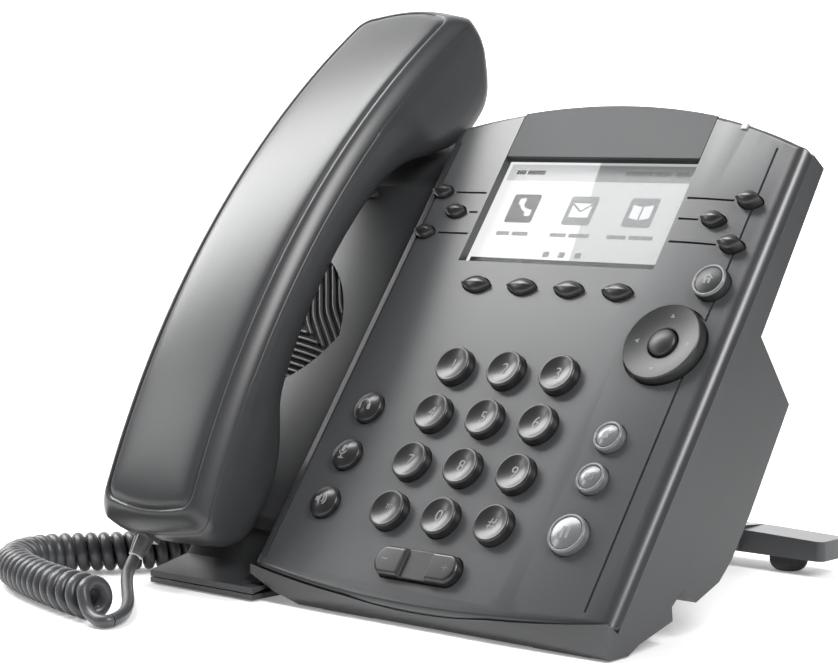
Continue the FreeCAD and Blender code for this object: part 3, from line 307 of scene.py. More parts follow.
def round_edges(piece, width, segments):
    bevel = piece.modifiers.new("bevel", "BEVEL")
    bevel.width, bevel.segments = width, segments
    bevel.limit_method, bevel.angle_limit = "ANGLE", math.radians(38)
    bevel.harden_normals, bevel.use_clamp_overlap = True, True
    mesh = evaluated_mesh(piece)
    piece.modifiers.clear()
    piece.data = mesh


def refined(node, material, body, rounding, shape=None, segments=2):
    """A copy of a CAD node in the face frame with its edges rounded, which takes the node's place."""
    bm = bmesh.new()
    bm.from_mesh(NODES[node].data)
    bmesh.ops.transform(bm, matrix=FACE.inverted(), verts=bm.verts)
    bmesh.ops.remove_doubles(bm, verts=bm.verts, dist=0.002)
    bmesh.ops.dissolve_limit(bm, angle_limit=math.radians(0.4), verts=bm.verts, edges=bm.edges)
    if shape:
        shape(bm)
    mesh = bm_to_mesh(bm, node + "_shape")
    mesh.materials.clear()
    piece = add_object(node + "_look", mesh, [material], body, replaced=[node])
    round_edges(piece, rounding, segments)
    return piece


def repaint(node, material):
    """Gives a CAD node that keeps its own shape a better material."""
    mesh = NODES[node].data
    mesh.materials.clear()
    mesh.materials.append(material)
    smooth_mesh(mesh)


def join_rings(bm, rings):
    """Faces between each ring of points and the next one."""
    for lower, upper in zip(rings, rings[1:]):
        for k in range(len(lower)):
            following = (k + 1) % len(lower)
            bm.faces.new((lower[k], lower[following], upper[following], upper[k]))


def around(centre, points, scale=1.0):
    """Points given round a centre, in the face frame."""
    return [(centre[0] + scale * x, centre[1] + scale * y) for x, y in points]


def circle_points(x, y, radius, steps):
    angles = [2 * math.pi * k / steps for k in range(steps)]
    return [(x + radius * math.cos(angle), y + radius * math.sin(angle)) for angle in angles]


def turned_mesh(name, profile, centre, steps=72):
    """A solid of revolution about the face's normal. The profile runs from underneath to the top."""
    bm = bmesh.new()
    rings = []
    for radius, height in profile:
        places = circle_points(*centre, radius, steps) if radius else [centre]
        rings.append([bm.verts.new((x, y, height)) for x, y in places])
    for lower, upper in zip(rings, rings[1:]):
        if len(lower) == len(upper):
            join_rings(bm, [lower, upper])
            continue
        for k in range(steps):
            following = (k + 1) % steps
            if len(lower) == 1:
                bm.faces.new((lower[0], upper[following], upper[k]))
            else:
                bm.faces.new((lower[k], lower[following], upper[0]))
    return bm_to_mesh(bm, name, 50.0)


def arc_points(start, end, bulge, count):
    """Points of a shallow arc from start to end. It bulges to the left of the way, most at the middle."""
    points = []
    dx, dy = end[0] - start[0], end[1] - start[1]
    length = math.hypot(dx, dy)
    for k in range(count + 1):
        part = k / count
        lift = bulge * 4 * part * (1 - part) / length
        points.append((start[0] + dx * part - dy * lift, start[1] + dy * part + dx * lift))
    return points


def prism(bm, points, low, high):
    """A closed prism over an outline in the face plane."""
    bottom = [bm.verts.new((x, y, low)) for x, y in points]
    top = [bm.verts.new((x, y, high)) for x, y in points]
    bm.faces.new(top)
    bm.faces.new(list(reversed(bottom)))
    join_rings(bm, [bottom, top])


def box_points(left, low, right, high):
    return [(left, low), (right, low), (right, high), (left, high)]


def rounded_box(left, low, right, high, radius, steps=5):
    points = []
    corners = [(right - radius, low + radius, -90), (right - radius, high - radius, 0),
               (left + radius, high - radius, 90), (left + radius, low + radius, 180)]
    for x, y, start in corners:
        for k in range(steps + 1):
            angle = math.radians(start + 90 * k / steps)
            points.append((x + radius * math.cos(angle), y + radius * math.sin(angle)))
    return points


# ---------------------------------------------------------------- console shells

# The left strip starts at its seam, the right rim is an arc, and the face bends down before the rim.
LEFT_SEAM, LEFT_SLOPE = -35.3, 0.33
RIM_START, RIM_ROUND = 88.6, 4.4
BEND_START, BEND_STEP, BEND_SLOPE = 56.0, 4.0, 0.015
SKIN_DEPTH = 2.5


def bend_depth(x):
    """How far the face has dropped at x. Past the bend's start, each step is a little steeper."""
    depth, slope, edge = 0.0, 0.0, BEND_START
    while edge < x:
        slope += BEND_SLOPE
        depth += slope * (min(x, edge + BEND_STEP) - edge)
        edge += BEND_STEP
    return depth


def slope_side_strips(bm):
    """The face bends down at the right, slopes away at the left strip, and is rounded at the right rim."""
    rim_cuts = [RIM_START + RIM_ROUND * part for part in (0.0, 0.15, 0.3, 0.45, 0.6, 0.74, 0.86, 0.94)]
    bend_cuts = [BEND_START + BEND_STEP * step for step in range(8)]
    for cut in [LEFT_SEAM] + bend_cuts + rim_cuts:
        bmesh.ops.bisect_plane(bm, geom=bm.verts[:] + bm.edges[:] + bm.faces[:], plane_co=(cut, 0, 0),
                               plane_no=(1, 0, 0), dist=0.0001)
    for edge in bm.edges:
        if all(abs(vertex.co.x - LEFT_SEAM) < 0.001 for vertex in edge.verts):
            edge.smooth = False
    for vertex in bm.verts:
        x, _, z = vertex.co
        if z > -SKIN_DEPTH:
            vertex.co.z -= LEFT_SLOPE * max(0.0, LEFT_SEAM - x) + bend_depth(min(x, RIM_START))
        if x > RIM_START:
            across = min(x - RIM_START, RIM_ROUND)
            highest = -bend_depth(RIM_START) - RIM_ROUND + math.sqrt(RIM_ROUND ** 2 - across ** 2)
            vertex.co.z = min(vertex.co.z, highest)


def build_console():
    paint_shade_on_display_walls(refined("front_cover", SHELL, "console", 0.16, slope_side_strips))
    refined("rear_cover", SHELL, "console", 0.35)
    refined("cradle_cover", CRADLE, "console", 0.4)
    refined("display_trim", TRIM, "console", 0.15)
    refined("hook_tab", CRADLE, "console", 0.4)
    refined("stand", SHELL, "console", 0.6, segments=3)
    for node, material in (("lcd_window", WINDOW), ("lcd_module", PANEL), ("speaker_driver", PAPER),
                           ("message_light", LIGHT_PIPE), ("main_board", BOARD), ("keypad_mat", SILICONE),
                           ("audio_jacks", JACK), ("network_jacks", JACK), ("rubber_feet", RUBBER),
                           ("housing_screws", STEEL), ("nav_pivot", JACK),
                           ("receiver_capsule", PAPER), ("microphone_capsule", JACK), ("handset_plug", PLUG),
                           ("base_plug", PLUG)):
        repaint(node, material)


# ---------------------------------------------------------------- keys

DIAL_LABELS = ["1", "2", "3", "4", "5", "6", "7", "8", "9", "star", "0", "hash"]
DIAL_SIGNS = {"star": "*", "hash": "#"}
SIGN_THICK, SIGN_SUNK = 0.1, 0.06


def flange(radius, reach=0.9, low=-3.5, high=-2.6):
    """The hidden flange that keeps a round key under the cover, from the key's axis out to its wall."""
    return [(0.0, low), (radius + reach, low), (radius + reach, high), (radius, high)]


def dome_height(middle, drop, radius):
    """A domed key's height at a distance from its axis. The edge lies the drop below the middle."""
    return lambda reach: middle - drop * (reach / radius) ** 2


def sign_mesh(text, centre, height, size, name):
    curve = bpy.data.curves.new(name, "FONT")
    curve.body = text
    curve.size = size
    curve.align_x = "CENTER"
    curve.align_y = "CENTER"
    curve.extrude = 0.02
    mesh = curve_mesh(name, curve)
    mesh.transform(Matrix.Translation((*centre, height)))
    return mesh


def build_dial_keys():
    radius, lip, lip_level, dish_level, sign_size = 6.0, 5.2, 2.95, 2.0, 5.2
    rim = [(radius, 2.35), (5.92, 2.62), (5.72, 2.86), (5.45, 2.97), (lip, lip_level)]
    height = dome_height(dish_level, dish_level - lip_level, lip)
    dish = [(r, height(r)) for r in (4.8, 4.3, 3.6, 2.8, 1.9, 1.0, 0.0)]
    for label in DIAL_LABELS:
        node = f"dial_key_{label}"
        centre = face_centre(node)
        mesh = turned_mesh(node + "_turned", flange(radius) + rim + dish, centre)
        add_object(node + "_look", mesh, [KEY], node, replaced=[node])
        sign = sign_mesh(DIAL_SIGNS.get(label, label), centre, dish_level + 0.12, sign_size, node + "_sign")
        add_object(node + "_sign", sign, [INK_DIM], node)


def mark(name, polygons, centre, surface, scale, material, body):
    """Small printed shapes laid on a key's surface, drawn in a unit square round its centre."""
    bm = bmesh.new()
    for polygon in polygons:
        prism(bm, around(centre, polygon, scale), 0.0, SIGN_THICK)
    bmesh.ops.triangulate(bm, faces=bm.faces[:])
    bmesh.ops.subdivide_edges(bm, edges=bm.edges[:], cuts=2)
    for vertex in bm.verts:
        vertex.co.z += surface(math.hypot(vertex.co.x - centre[0], vertex.co.y - centre[1])) - SIGN_SUNK
    add_object(name, bm_to_mesh(bm, name), [material], body)


def ring_polygon(inner, outer, start, end, steps=10, centre=(0.0, 0.0)):
    angles = [math.radians(start + (end - start) * k / steps) for k in range(steps + 1)]
    outside = [(centre[0] + outer * math.cos(a), centre[1] + outer * math.sin(a)) for a in angles]
    inside = [(centre[0] + inner * math.cos(a), centre[1] + inner * math.sin(a)) for a in reversed(angles)]
    return outside + inside


# Signs, in a unit square round a key's centre.
HEADSET_SIGN = [ring_polygon(0.62, 0.8, 0, 180), rounded_box(-0.9, -0.62, -0.5, 0.08, 0.12),
                rounded_box(0.5, -0.62, 0.9, 0.08, 0.12)]
SPEAKER_SIGN = [[(-0.8, -0.28), (-0.42, -0.28), (0.02, -0.68), (0.02, 0.68), (-0.42, 0.28), (-0.8, 0.28)],
                ring_polygon(0.42, 0.56, -50, 50), ring_polygon(0.72, 0.88, -50, 50)]
MICROPHONE_SIGN = [rounded_box(-0.24, -0.1, 0.24, 0.85, 0.22),
                   ring_polygon(0.42, 0.56, 180, 360, centre=(0.0, 0.12)),
                   box_points(-0.08, -0.85, 0.08, -0.4), box_points(-0.4, -0.92, 0.4, -0.78)]
HOLD_SIGN = [box_points(-0.5, -0.65, -0.15, 0.65), box_points(0.15, -0.65, 0.5, 0.65)]
TRANSFER_SIGN = [ring_polygon(0.5, 0.72, 30, 330), [(0.42, 0.62), (0.9, 0.42), (0.44, 0.05)]]
MESSAGE_SIGN = [box_points(-0.75, -0.5, 0.75, -0.38), box_points(-0.75, 0.38, 0.75, 0.5),
                box_points(-0.75, -0.38, -0.63, 0.38), box_points(0.63, -0.38, 0.75, 0.38),
                [(-0.7, 0.42), (0.0, -0.12), (0.7, 0.42), (0.5, 0.42), (0.0, 0.04), (-0.5, 0.42)]]
HOME_SIGN = [[(-0.8, 0.05), (0.0, 0.8), (0.8, 0.05), (0.55, 0.05), (0.0, 0.55), (-0.55, 0.05)],
             box_points(-0.5, -0.6, -0.14, 0.1), box_points(0.14, -0.6, 0.5, 0.1),
             box_points(-0.14, -0.1, 0.14, 0.1)]


def build_round_keys():
    dome, sign_size = dome_height(3.0, 1.5, 4.9), 2.5
    profile = flange(5.0) + [(5.0, 1.1), (4.95, 1.35)]
    profile += [(r, dome(r)) for r in (4.8, 4.4, 3.8, 3.0, 2.0, 1.0, 0.0)]
    for index, sign in enumerate((HEADSET_SIGN, MICROPHONE_SIGN, SPEAKER_SIGN), start=1):
        node = f"left_key_{index}"
        centre = face_centre(node)
        mesh = turned_mesh(node, profile, centre)
        add_object(node + "_look", mesh, [KEY], node, replaced=[node])
        mark(node + "_sign", sign, centre, dome, sign_size, INK, node)
    cushion_key("right_key_1", 4.6, TRANSFER_SIGN, SMOKE)
    cushion_key("right_key_2", 4.6, MESSAGE_SIGN, SMOKE)
    cushion_key("right_key_3", 6.0, HOLD_SIGN, SMOKE)
    cushion_key("home_key", 5.3, HOME_SIGN, NAV)


def cushion_key(node, outer, sign, material):
    """A round key with a raised rim, a fine gap, and a domed cushion in the middle."""
    inner, gap_floor, centre = outer - 1.15, 0.7, face_centre(node)
    cushion = dome_height(2.0, 0.7, inner)
    profile = flange(outer) + [(outer, 0.9), (outer - 0.08, 1.25), (outer - 0.3, 1.5), (outer - 0.6, 1.58),
                               (outer - 0.85, 1.5), (outer - 1.0, 1.2), (outer - 1.05, gap_floor),
                               (inner, gap_floor), (inner, cushion(inner))]
    profile += [(inner * part, cushion(inner * part)) for part in (0.96, 0.85, 0.7, 0.5, 0.25, 0.0)]
    piece = add_object(node + "_look", turned_mesh(node, profile, centre), [material, SMOKE_RIM], node,
                       replaced=[node])
    for polygon in piece.data.polygons:
        middle = polygon.center
        reach = math.hypot(middle.x - centre[0], middle.y - centre[1])
        polygon.material_index = 1 if reach > inner + 0.02 and middle.z > 0.2 else 0
    mark(node + "_sign", sign, centre, cushion, inner * 0.55, INK_DIM, node)


def build_navigation():
    centre, hole, radius, dish_start = face_centre("nav_ring"), 4.7, 12.3, 0.45

    def dish(reach):
        return dish_start + 1.25 * ((reach - hole) / 6.9) ** 1.6 if reach > hole else dish_start
    profile = [(hole, -3.9), (radius + 0.9, -3.9), (radius + 0.9, -3.0), (radius, -3.0), (radius, 1.2),
               (12.15, 1.55), (11.85, 1.78)]
    profile += [(r, dish(r)) for r in (11.5, 10.6, 9.4, 8.2, 7.0, 6.0, 5.3, 4.9)]
    profile += [(hole, 0.25), (hole, -3.9)]
    piece = add_object("nav_ring_look", turned_mesh("nav_ring", profile, centre, 96), [NAV], "nav_ring",
                       replaced=["nav_ring"])
    bm = bmesh.new()
    bm.from_mesh(piece.data)
    bmesh.ops.remove_doubles(bm, verts=bm.verts, dist=0.001)
    bm.to_mesh(piece.data)
    bm.free()
    smooth_mesh(piece.data, 50.0)
    arrow_reach, arrow_size = 6.9, 1.25
    arrow = [Vector((x, y + arrow_reach)) for x, y in ((0.0, 0.55), (-0.62, -0.4), (0.62, -0.4))]
    turns = [Matrix.Rotation(math.radians(90 * quarter), 2) for quarter in range(4)]
    arrows = [[turn @ corner for corner in arrow] for turn in turns]
    mark("nav_ring_arrows", arrows, centre, dish, arrow_size, INK_DIM, "nav_ring")

    button = dome_height(2.3, 1.15, 4.2)
    profile = flange(4.2, 1.0, -6.6, -5.7) + [(4.2, 0.9)]
    profile += [(r, button(r)) for r in (4.1, 3.6, 2.9, 2.0, 1.0, 0.0)]
    mesh = turned_mesh("select_key", profile, centre)
    add_object("select_key_look", mesh, [NAV], "select_key", replaced=["select_key"])


def eye_outline(half_long, half_short, steps=14):
    left, right = (-half_long, 0.0), (half_long, 0.0)
    return arc_points(left, right, -half_short, steps)[:-1] + arc_points(right, left, -half_short, steps)[:-1]


def eye_key(node, half_long, half_short, top):
    """An eye-shaped key whose top is a low roof with a long ridge."""
    bm = bmesh.new()
    centre, outline = face_centre(node), eye_outline(half_long, half_short)
    levels = [(1.0, -4.0), (1.0, top - 1.35), (0.94, top - 1.05), (0.74, top - 0.62), (0.5, top - 0.28),
              (0.24, top - 0.06), (0.08, top)]
    rings = []
    for part, height in levels:
        ridge_part = 0.25 + 0.75 * part if part < 0.9 else part
        rings.append([bm.verts.new((centre[0] + x * ridge_part, centre[1] + y * part, height))
                      for x, y in outline])
    join_rings(bm, rings)
    bm.faces.new(rings[-1])
    bm.faces.new(list(reversed(rings[0])))
    add_object(node + "_look", bm_to_mesh(bm, node, 40.0), [KEY], node, replaced=[node])


def build_bar_keys():
    for index in range(1, 5):
        eye_key(f"soft_key_{index}", 5.5, 2.7, 2.4)
    for side in ("left", "right"):
        for index in range(1, 4):
            eye_key(f"line_key_{side}_{index}", 4.1, 2.4, 2.3)
    refined("volume_rocker", KEY, "volume_rocker", 0.35, segments=3)
    middle_x, middle_y = face_centre("volume_rocker")
    reach, level, size, bar = 11.2, 2.86, 1.1, 0.16
    minus = [box_points(-1.0, -bar, 1.0, bar)]
    plus = minus + [box_points(-bar, bar, bar, 1.0), box_points(-bar, -1.0, bar, -bar)]
    for name, shapes, x in (("minus", minus, middle_x - reach), ("plus", plus, middle_x + reach)):
        mark(f"volume_{name}_sign", shapes, (x, middle_y), lambda distance: level, size, INK_DIM,
             "volume_rocker")


# ---------------------------------------------------------------- display

SCREEN_LEFT, SCREEN_RIGHT, SCREEN_LOW, SCREEN_HIGH = -13.7, 59.4, 108.4, 146.9


def status_marks():
    """Bars in the status bar, in place of words."""
    runs = ((-10.7, -7.2), (-6.4, 0.5), (31.3, 41.0), (42.0, 48.0), (49.4, 55.0))
    return [box_points(left, 143.2, right, 144.7) for left, right in runs]


def caption_marks():
    """Two bars under each icon, in place of words, and the three page marks."""
    bars, low, high = [], 120.7, 122.1
    for left, right in ((-8.0, 4.4), (12.9, 27.7), (34.4, 51.1)):
        gap = left + 0.45 * (right - left)
        bars += [box_points(left, low, gap - 0.5, high), box_points(gap + 0.5, low, right, high)]
    return [rounded_box(x - 1.2, 113.4, x + 1.2, 115.4, 0.4) for x in (14.8, 20.7, 26.9)] + bars


def receiver_shapes():
    return [ring_polygon(2.1, 3.3, 190, 280, centre=(1.8, 2.1)), rounded_box(-2.5, 1.3, -0.1, 3.7, 0.6),
            rounded_box(1.3, -2.7, 3.7, -0.3, 0.6)]


def envelope_shapes():
    return [[(-4.7, 3.6), (0.0, 0.3), (4.7, 3.6)],
            [(-4.9, -3.1), (4.9, -3.1), (4.9, 2.7), (0.0, -0.8)],
            [(-4.9, -3.1), (0.0, -0.8), (-4.9, 2.7)]]


def book_shapes():
    return [[(-4.9, -2.5), (-0.4, -3.4), (-0.4, 2.8), (-4.9, 3.7)],
            [(0.4, -3.4), (4.9, -2.5), (4.9, 3.7), (0.4, 2.8)]]


def build_display():
    """The picture on the display: a status bar, three icons with caption bars, and page marks."""
    thick, level = 0.02, face_box("lcd_module")[1].z
    call, message, book = (-1.9, 130.6), (20.5, 130.3), (43.0, 130.2)
    tile = rounded_box(-5.3, -5.2, 5.3, 5.2, 0.9)
    white = [around(call, shape) for shape in receiver_shapes()]
    white += [around(message, shape, 0.75) for shape in envelope_shapes()]
    white += [around(book, shape, 0.75) for shape in book_shapes()]
    status_bar = box_points(SCREEN_LEFT, SCREEN_HIGH - 6.0, SCREEN_RIGHT, SCREEN_HIGH)
    bezel = box_points(SCREEN_LEFT, SCREEN_LOW, SCREEN_RIGHT, SCREEN_LOW + 4.1)
    layers = (("lcd_bezel", TRIM, [bezel], 0), ("lcd_status_bar", LCD_BAR, [status_bar], 0),
              ("lcd_dark_marks", LCD_SLATE, [around(call, tile)] + status_marks(), 1),
              ("lcd_grey_marks", LCD_GREY, [around(message, tile), around(book, tile)] + caption_marks(), 1),
              ("lcd_icon_shapes", LCD_WHITE, white, 2))
    for name, material, shapes, layer in layers:
        bm = bmesh.new()
        for shape in shapes:
            prism(bm, shape, level + layer * thick, level + (layer + 1) * thick)
        add_object(name, bm_to_mesh(bm, name), [material], "console")


def paint_shade_on_display_walls(cover):
    """The walls of the display's opening get the near-black of painted shade, for the shade inside the
    opening.
    """
    cover.data.materials.append(PAINTED_SHADE)
    margin = 0.5
    for polygon in cover.data.polygons:
        x, y, z = polygon.center
        across = SCREEN_LEFT - margin < x < SCREEN_RIGHT + margin
        if z < -0.2 and across and SCREEN_LOW - margin < y < SCREEN_HIGH + margin:
            polygon.material_index = 1


# ---------------------------------------------------------------- speaker grille

def grille_boundary():
    """The rounded three-cornered outline of the grille."""
    top, right, left = (-76.0, 111.0), (-54.4, 82.5), (-76.0, 62.0)
    return arc_points(left, right, -3.2, 16)[:-1] + arc_points(right, top, -3.6, 20)


def inside(point, outline):
    x, y = point
    hit = False
    for (ax, ay), (bx, by) in zip(outline, outline[1:] + outline[:1]):
        if (ay > y) != (by > y) and x < (bx - ax) * (y - ay) / (by - ay) + ax:
            hit = not hit
    return hit


def build_grille():
    """A pan painted near-black as the shade under the slats, with two sets of slats that meet along a
    slanting line: bent upright ones and level ones.
    """
    outline = grille_boundary()
    pan_low, pan_high, slat_high, slat_half, gap = -7.9, -7.5, -6.3, 0.42, 0.35
    bm = bmesh.new()
    prism(bm, outline, pan_low, pan_high)
    add_object("grille_shade_pan", bm_to_mesh(bm, "grille_shade_pan"), [PAINTED_SHADE], "console",
               replaced=["speaker_grille"])
    bm = bmesh.new()

    def above_line(point, margin):
        return point.y > 82.3 - 0.55 * (point.x + 67.2) + margin

    def add_slat(path, keep):
        kept = [p for p in path if inside((p.x, p.y), outline) and keep(p)]
        if len(kept) > 3:
            rib(bm, kept, slat_half, pan_high, slat_high)
    up, down, step = Vector((-0.493, 0.870)), Vector((0.70, -0.71)), 0.5
    for index in range(-2, 9):
        bend = Vector((-62.8 - 2.15 * index, 92.5 - 1.33 * index))
        lower = [bend + down * step * k for k in range(40, 0, -1)]
        upper = [bend + up * step * k for k in range(60)]
        rounded = blend_line(lower[-6].to_3d(), upper[5].to_3d(), -down.to_3d(), up.to_3d(), 10)
        add_slat(lower[:-5] + [p.to_2d() for p in rounded] + upper[5:], lambda p: above_line(p, gap))
    for index in range(-4, 10):
        start = Vector((-50.0, 78.6 - 2.3 * index))
        path = [start + Vector((-step * k, 0.29 * step * k - 0.0009 * k * k)) for k in range(60)]
        add_slat(path, lambda p: not above_line(p, -gap))
    add_object("grille_slats", bm_to_mesh(bm, "grille_slats", 60.0), [GRILLE], "console")


def rib(bm, path, half, low, high):
    """A round-topped rib along a path in the face plane."""
    shoulder, crown = high - 0.25, half * 0.55
    shape = [(-half, low), (-half, shoulder), (-crown, high), (crown, high), (half, shoulder), (half, low)]
    rings = []
    for k, point in enumerate(path):
        ahead = path[min(k + 1, len(path) - 1)] - path[max(k - 1, 0)]
        side = Vector((-ahead.y, ahead.x)).normalized()
        rings.append([bm.verts.new((*(point + side * across), z)) for across, z in shape])
    join_rings(bm, rings)
    bm.faces.new(rings[0])
    bm.faces.new(list(reversed(rings[-1])))


# ---------------------------------------------------------------- handset

# The handset's outline on the face, and the arc that parts its two shells, seen from the side.
LEFT, RIGHT, LOW, HIGH = -93.0, -47.0, -1.3, 200.4
SEAM_RADIUS, SEAM_MIDDLE, SEAM_DROP = 305.6, 87.3, 278.9
SEAM_GAP = 0.12


def handset_plan(steps_side=90, corner=5.0):
    """The handset's outline seen from the front: straight sides, bowed ends, rounded corners."""
    top_side, low_side = 197.2, 0.4
    start, length = low_side + corner, top_side - low_side - 2 * corner
    levels = [start + length * k / steps_side for k in range(steps_side + 1)]
    points = [(RIGHT, y) for y in levels] + end_outline(RIGHT, LEFT, top_side, HIGH, corner)
    return points + [(LEFT, y) for y in reversed(levels)] + end_outline(LEFT, RIGHT, low_side, LOW, corner)


def end_outline(start_x, end_x, side_level, middle_level, corner, steps=22, corner_steps=8):
    """The bowed end between two sides, with its corners rounded."""
    outward = math.copysign(1.0, middle_level - side_level)
    toward = math.copysign(1.0, end_x - start_x)
    centre_x, half = (start_x + end_x) / 2, abs(start_x - end_x) / 2 - corner
    turns = [math.pi / 2 * k / corner_steps for k in range(1, corner_steps)]

    def corner_points(side_x, inward, order):
        return [(side_x + inward * corner * (1 - math.cos(turn)),
                 side_level - outward * corner * (1 - math.sin(turn))) for turn in order]
    points = corner_points(start_x, toward, turns)
    for k in range(1, steps):
        part = 2 * k / steps - 1
        bow = (middle_level - side_level) * (1 - part * part)
        points.append((centre_x + toward * half * part, side_level + bow))
    return points + corner_points(end_x, -toward, reversed(turns))


def seam_level(y):
    """The height of the arc that parts the two shells."""
    return math.sqrt(SEAM_RADIUS ** 2 - (y - SEAM_MIDDLE) ** 2) - SEAM_DROP


def smooth_curve(table):
    """A smooth function through the table's points."""
    xs, ys = [p[0] for p in table], [p[1] for p in table]
    slopes = []
    for k in range(len(xs)):
        before, after = max(k - 1, 0), min(k + 1, len(xs) - 1)
        slopes.append((ys[after] - ys[before]) / (xs[after] - xs[before]))

    def value(x):
        x = min(max(x, xs[0]), xs[-1])
        k = max(i for i in range(len(xs) - 1) if xs[i] <= x)
        width = xs[k + 1] - xs[k]
        t = (x - xs[k]) / width
        return ((2 * t ** 3 - 3 * t ** 2 + 1) * ys[k] + (t ** 3 - 2 * t ** 2 + t) * width * slopes[k]
                + (-2 * t ** 3 + 3 * t ** 2) * ys[k + 1] + (t ** 3 - t ** 2) * width * slopes[k + 1])
    return value


# The underside of the handset along its length: the mouth end, the grip's arch and the ear end.
BELLY = smooth_curve([
    (-2.0, 9.5), (-1.0, 6.5), (1.0, 3.0), (4.0, -1.0), (8.0, -4.0), (12.0, -5.2), (20.0, -5.4), (27.0, -5.0),
    (32.0, -3.8), (38.0, -1.0), (44.0, 3.3), (50.0, 7.6), (58.0, 10.2), (68.0, 12.2), (80.0, 13.6),
    (92.0, 14.1), (105.0, 13.7), (118.0, 12.2), (128.0, 9.8), (136.0, 6.6), (143.0, 2.0), (150.0, -4.6),
    (157.0, -10.6), (163.0, -14.4), (168.0, -16.4), (173.0, -17.4), (178.0, -17.7), (182.0, -16.6),
    (186.0, -13.6), (190.0, -9.2), (193.0, -5.2), (196.0, -0.6), (199.0, 3.0), (201.0, 5.0)])


def loft(plan, levels):
    """Rings of the plan, each drawn in by a distance and set to a height that depends on y."""
    bm = bmesh.new()
    middle_x, middle_y = (LEFT + RIGHT) / 2, (LOW + HIGH) / 2
    half_x, half_y = (RIGHT - LEFT) / 2, (HIGH - LOW) / 2
    rings = []
    for inset, height in levels:
        narrow, short = 1 - inset / half_x, 1 - inset / half_y
        ring = []
        for x, y in plan:
            inner_y = middle_y + (y - middle_y) * short
            ring.append(bm.verts.new((middle_x + (x - middle_x) * narrow, inner_y, height(inner_y))))
        rings.append(ring)
    join_rings(bm, rings)
    bmesh.ops.remove_doubles(bm, verts=bm.verts, dist=0.001)
    close_middle(bm)
    return bm


def above_seam(amount):
    return lambda y: seam_level(y) + amount


def down_side(part):
    """The height of the lower shell, from the parting line (part 0) to the belly (part 1)."""
    def height(y):
        top_level = seam_level(y) - SEAM_GAP
        return top_level + (min(BELLY(y), top_level - 0.2) - top_level) * part
    return height


# The top cover and the rim round it: distance in from the outline, and height above the parting line.
TOP_PROFILE = [
    (0.0, 0.12), (0.0, 0.3), (0.12, 0.7), (0.45, 1.4), (1.0, 2.3), (1.6, 3.12), (2.3, 3.95), (3.0, 4.6),
    (3.6, 5.0), (4.1, 5.18), (4.45, 5.1), (4.7, 4.7), (4.9, 4.6), (5.1, 4.75), (5.5, 5.2), (6.1, 5.6),
    (7.0, 5.9), (8.4, 6.12), (11.0, 6.3), (14.0, 6.43), (17.0, 6.5), (20.0, 6.56), (23.0, 6.58)]

# The lower shell: distance in from the outline, and how far down between the parting line and the belly.
SIDE_PROFILE = [
    (23.0, 0.0), (2.0, 0.0), (0.35, 0.0), (0.0, 0.03), (0.0, 0.2), (0.1, 0.45), (0.4, 0.68), (1.0, 0.83),
    (1.9, 0.92), (3.2, 0.97), (5.0, 0.995), (8.0, 1.0), (12.0, 1.0), (17.0, 1.0), (20.0, 1.0), (23.0, 1.0)]


def build_handset():
    plan = handset_plan()
    upper = [(inset, above_seam(rise)) for inset, rise in [(23.0, SEAM_GAP), (2.0, SEAM_GAP)] + TOP_PROFILE]
    lower = [(inset, down_side(part)) for inset, part in SIDE_PROFILE]
    for end, levels in (("upper", upper), ("lower", lower)):
        mesh = bm_to_mesh(loft(plan, levels), f"handset_{end}", 55.0)
        add_object(f"handset_{end}_look", mesh, [HANDSET], "handset",
                   replaced=[f"handset_{end}_shell"])
    build_sound_holes()


def close_middle(bm):
    """Closes the narrow slots left along the middle line."""
    open_edges = [e for e in bm.edges if len(e.link_faces) == 1]
    if open_edges:
        bmesh.ops.holes_fill(bm, edges=open_edges, sides=0)


def build_sound_holes():
    """Rings of small sound holes under the two ends of the handset, drawn as short cylinders painted
    near-black for the shade in the holes.
    """
    hole_radius, middle_x = 0.55, (LEFT + RIGHT) / 2
    ends = (("ear_hole_shade", 174.0, ((0.0, 1), (2.4, 6), (4.8, 12))),
            ("mouth_hole_shade", 19.0, ((0.0, 1), (2.2, 6))))
    for name, middle_y, rings in ends:
        bm = bmesh.new()
        for ring_radius, count in rings:
            for x, y in circle_points(middle_x, middle_y, ring_radius, count):
                level = BELLY(y)
                prism(bm, circle_points(x, y, hole_radius, 12), level - 0.05, level + 1.0)
        add_object(name, bm_to_mesh(bm, name), [PAINTED_SHADE], "handset")


# ---------------------------------------------------------------- cord

# The routes' points are in millimetres in the shared frame, the same ones as the CAD's.
LEAD_ROUTE = [(-76.8, -80.8, 8.9), (-74.3, -85.4, 6.2), (-68.0, -91.5, 4.9), (-58.5, -99.5, 4.0),
              (-47.0, -109.2, 3.1), (-38.6, -118.5, 2.4), (-35.2, -127.5, 2.1)]
COIL_ROUTE = [(-45.2, -121.0, 6.2), (-57.0, -119.0, 6.2), (-70.0, -115.8, 6.2), (-84.0, -112.0, 6.2),
              (-99.0, -106.5, 6.2), (-110.5, -100.0, 6.2), (-117.0, -90.5, 6.2), (-116.5, -80.5, 6.2),
              (-109.0, -71.0, 6.2), (-99.5, -60.0, 6.2), (-93.0, -46.0, 6.2), (-91.0, -30.0, 6.2),
              (-92.0, -13.0, 6.2), (-94.5, 6.0, 6.2), (-95.5, 24.0, 6.2), (-97.0, 41.0, 6.2)]
TAIL_ROUTE = [(-62.0, -2.3, 23.5), (-62.0, 3.4, 19.3), (-62.2, 11.5, 12.6), (-63.0, 22.0, 6.6),
              (-64.5, 33.5, 3.2), (-66.5, 45.0, 2.1), (-70.5, 56.0, 2.1), (-79.5, 64.0, 2.1),
              (-91.0, 62.0, 2.1), (-97.3, 52.0, 2.4), (-97.6, 42.8, 3.2)]
WIRE, COIL_OUTER, COIL_PITCH = 3.7, 12.4, 4.0
COIL_STEP = 0.25


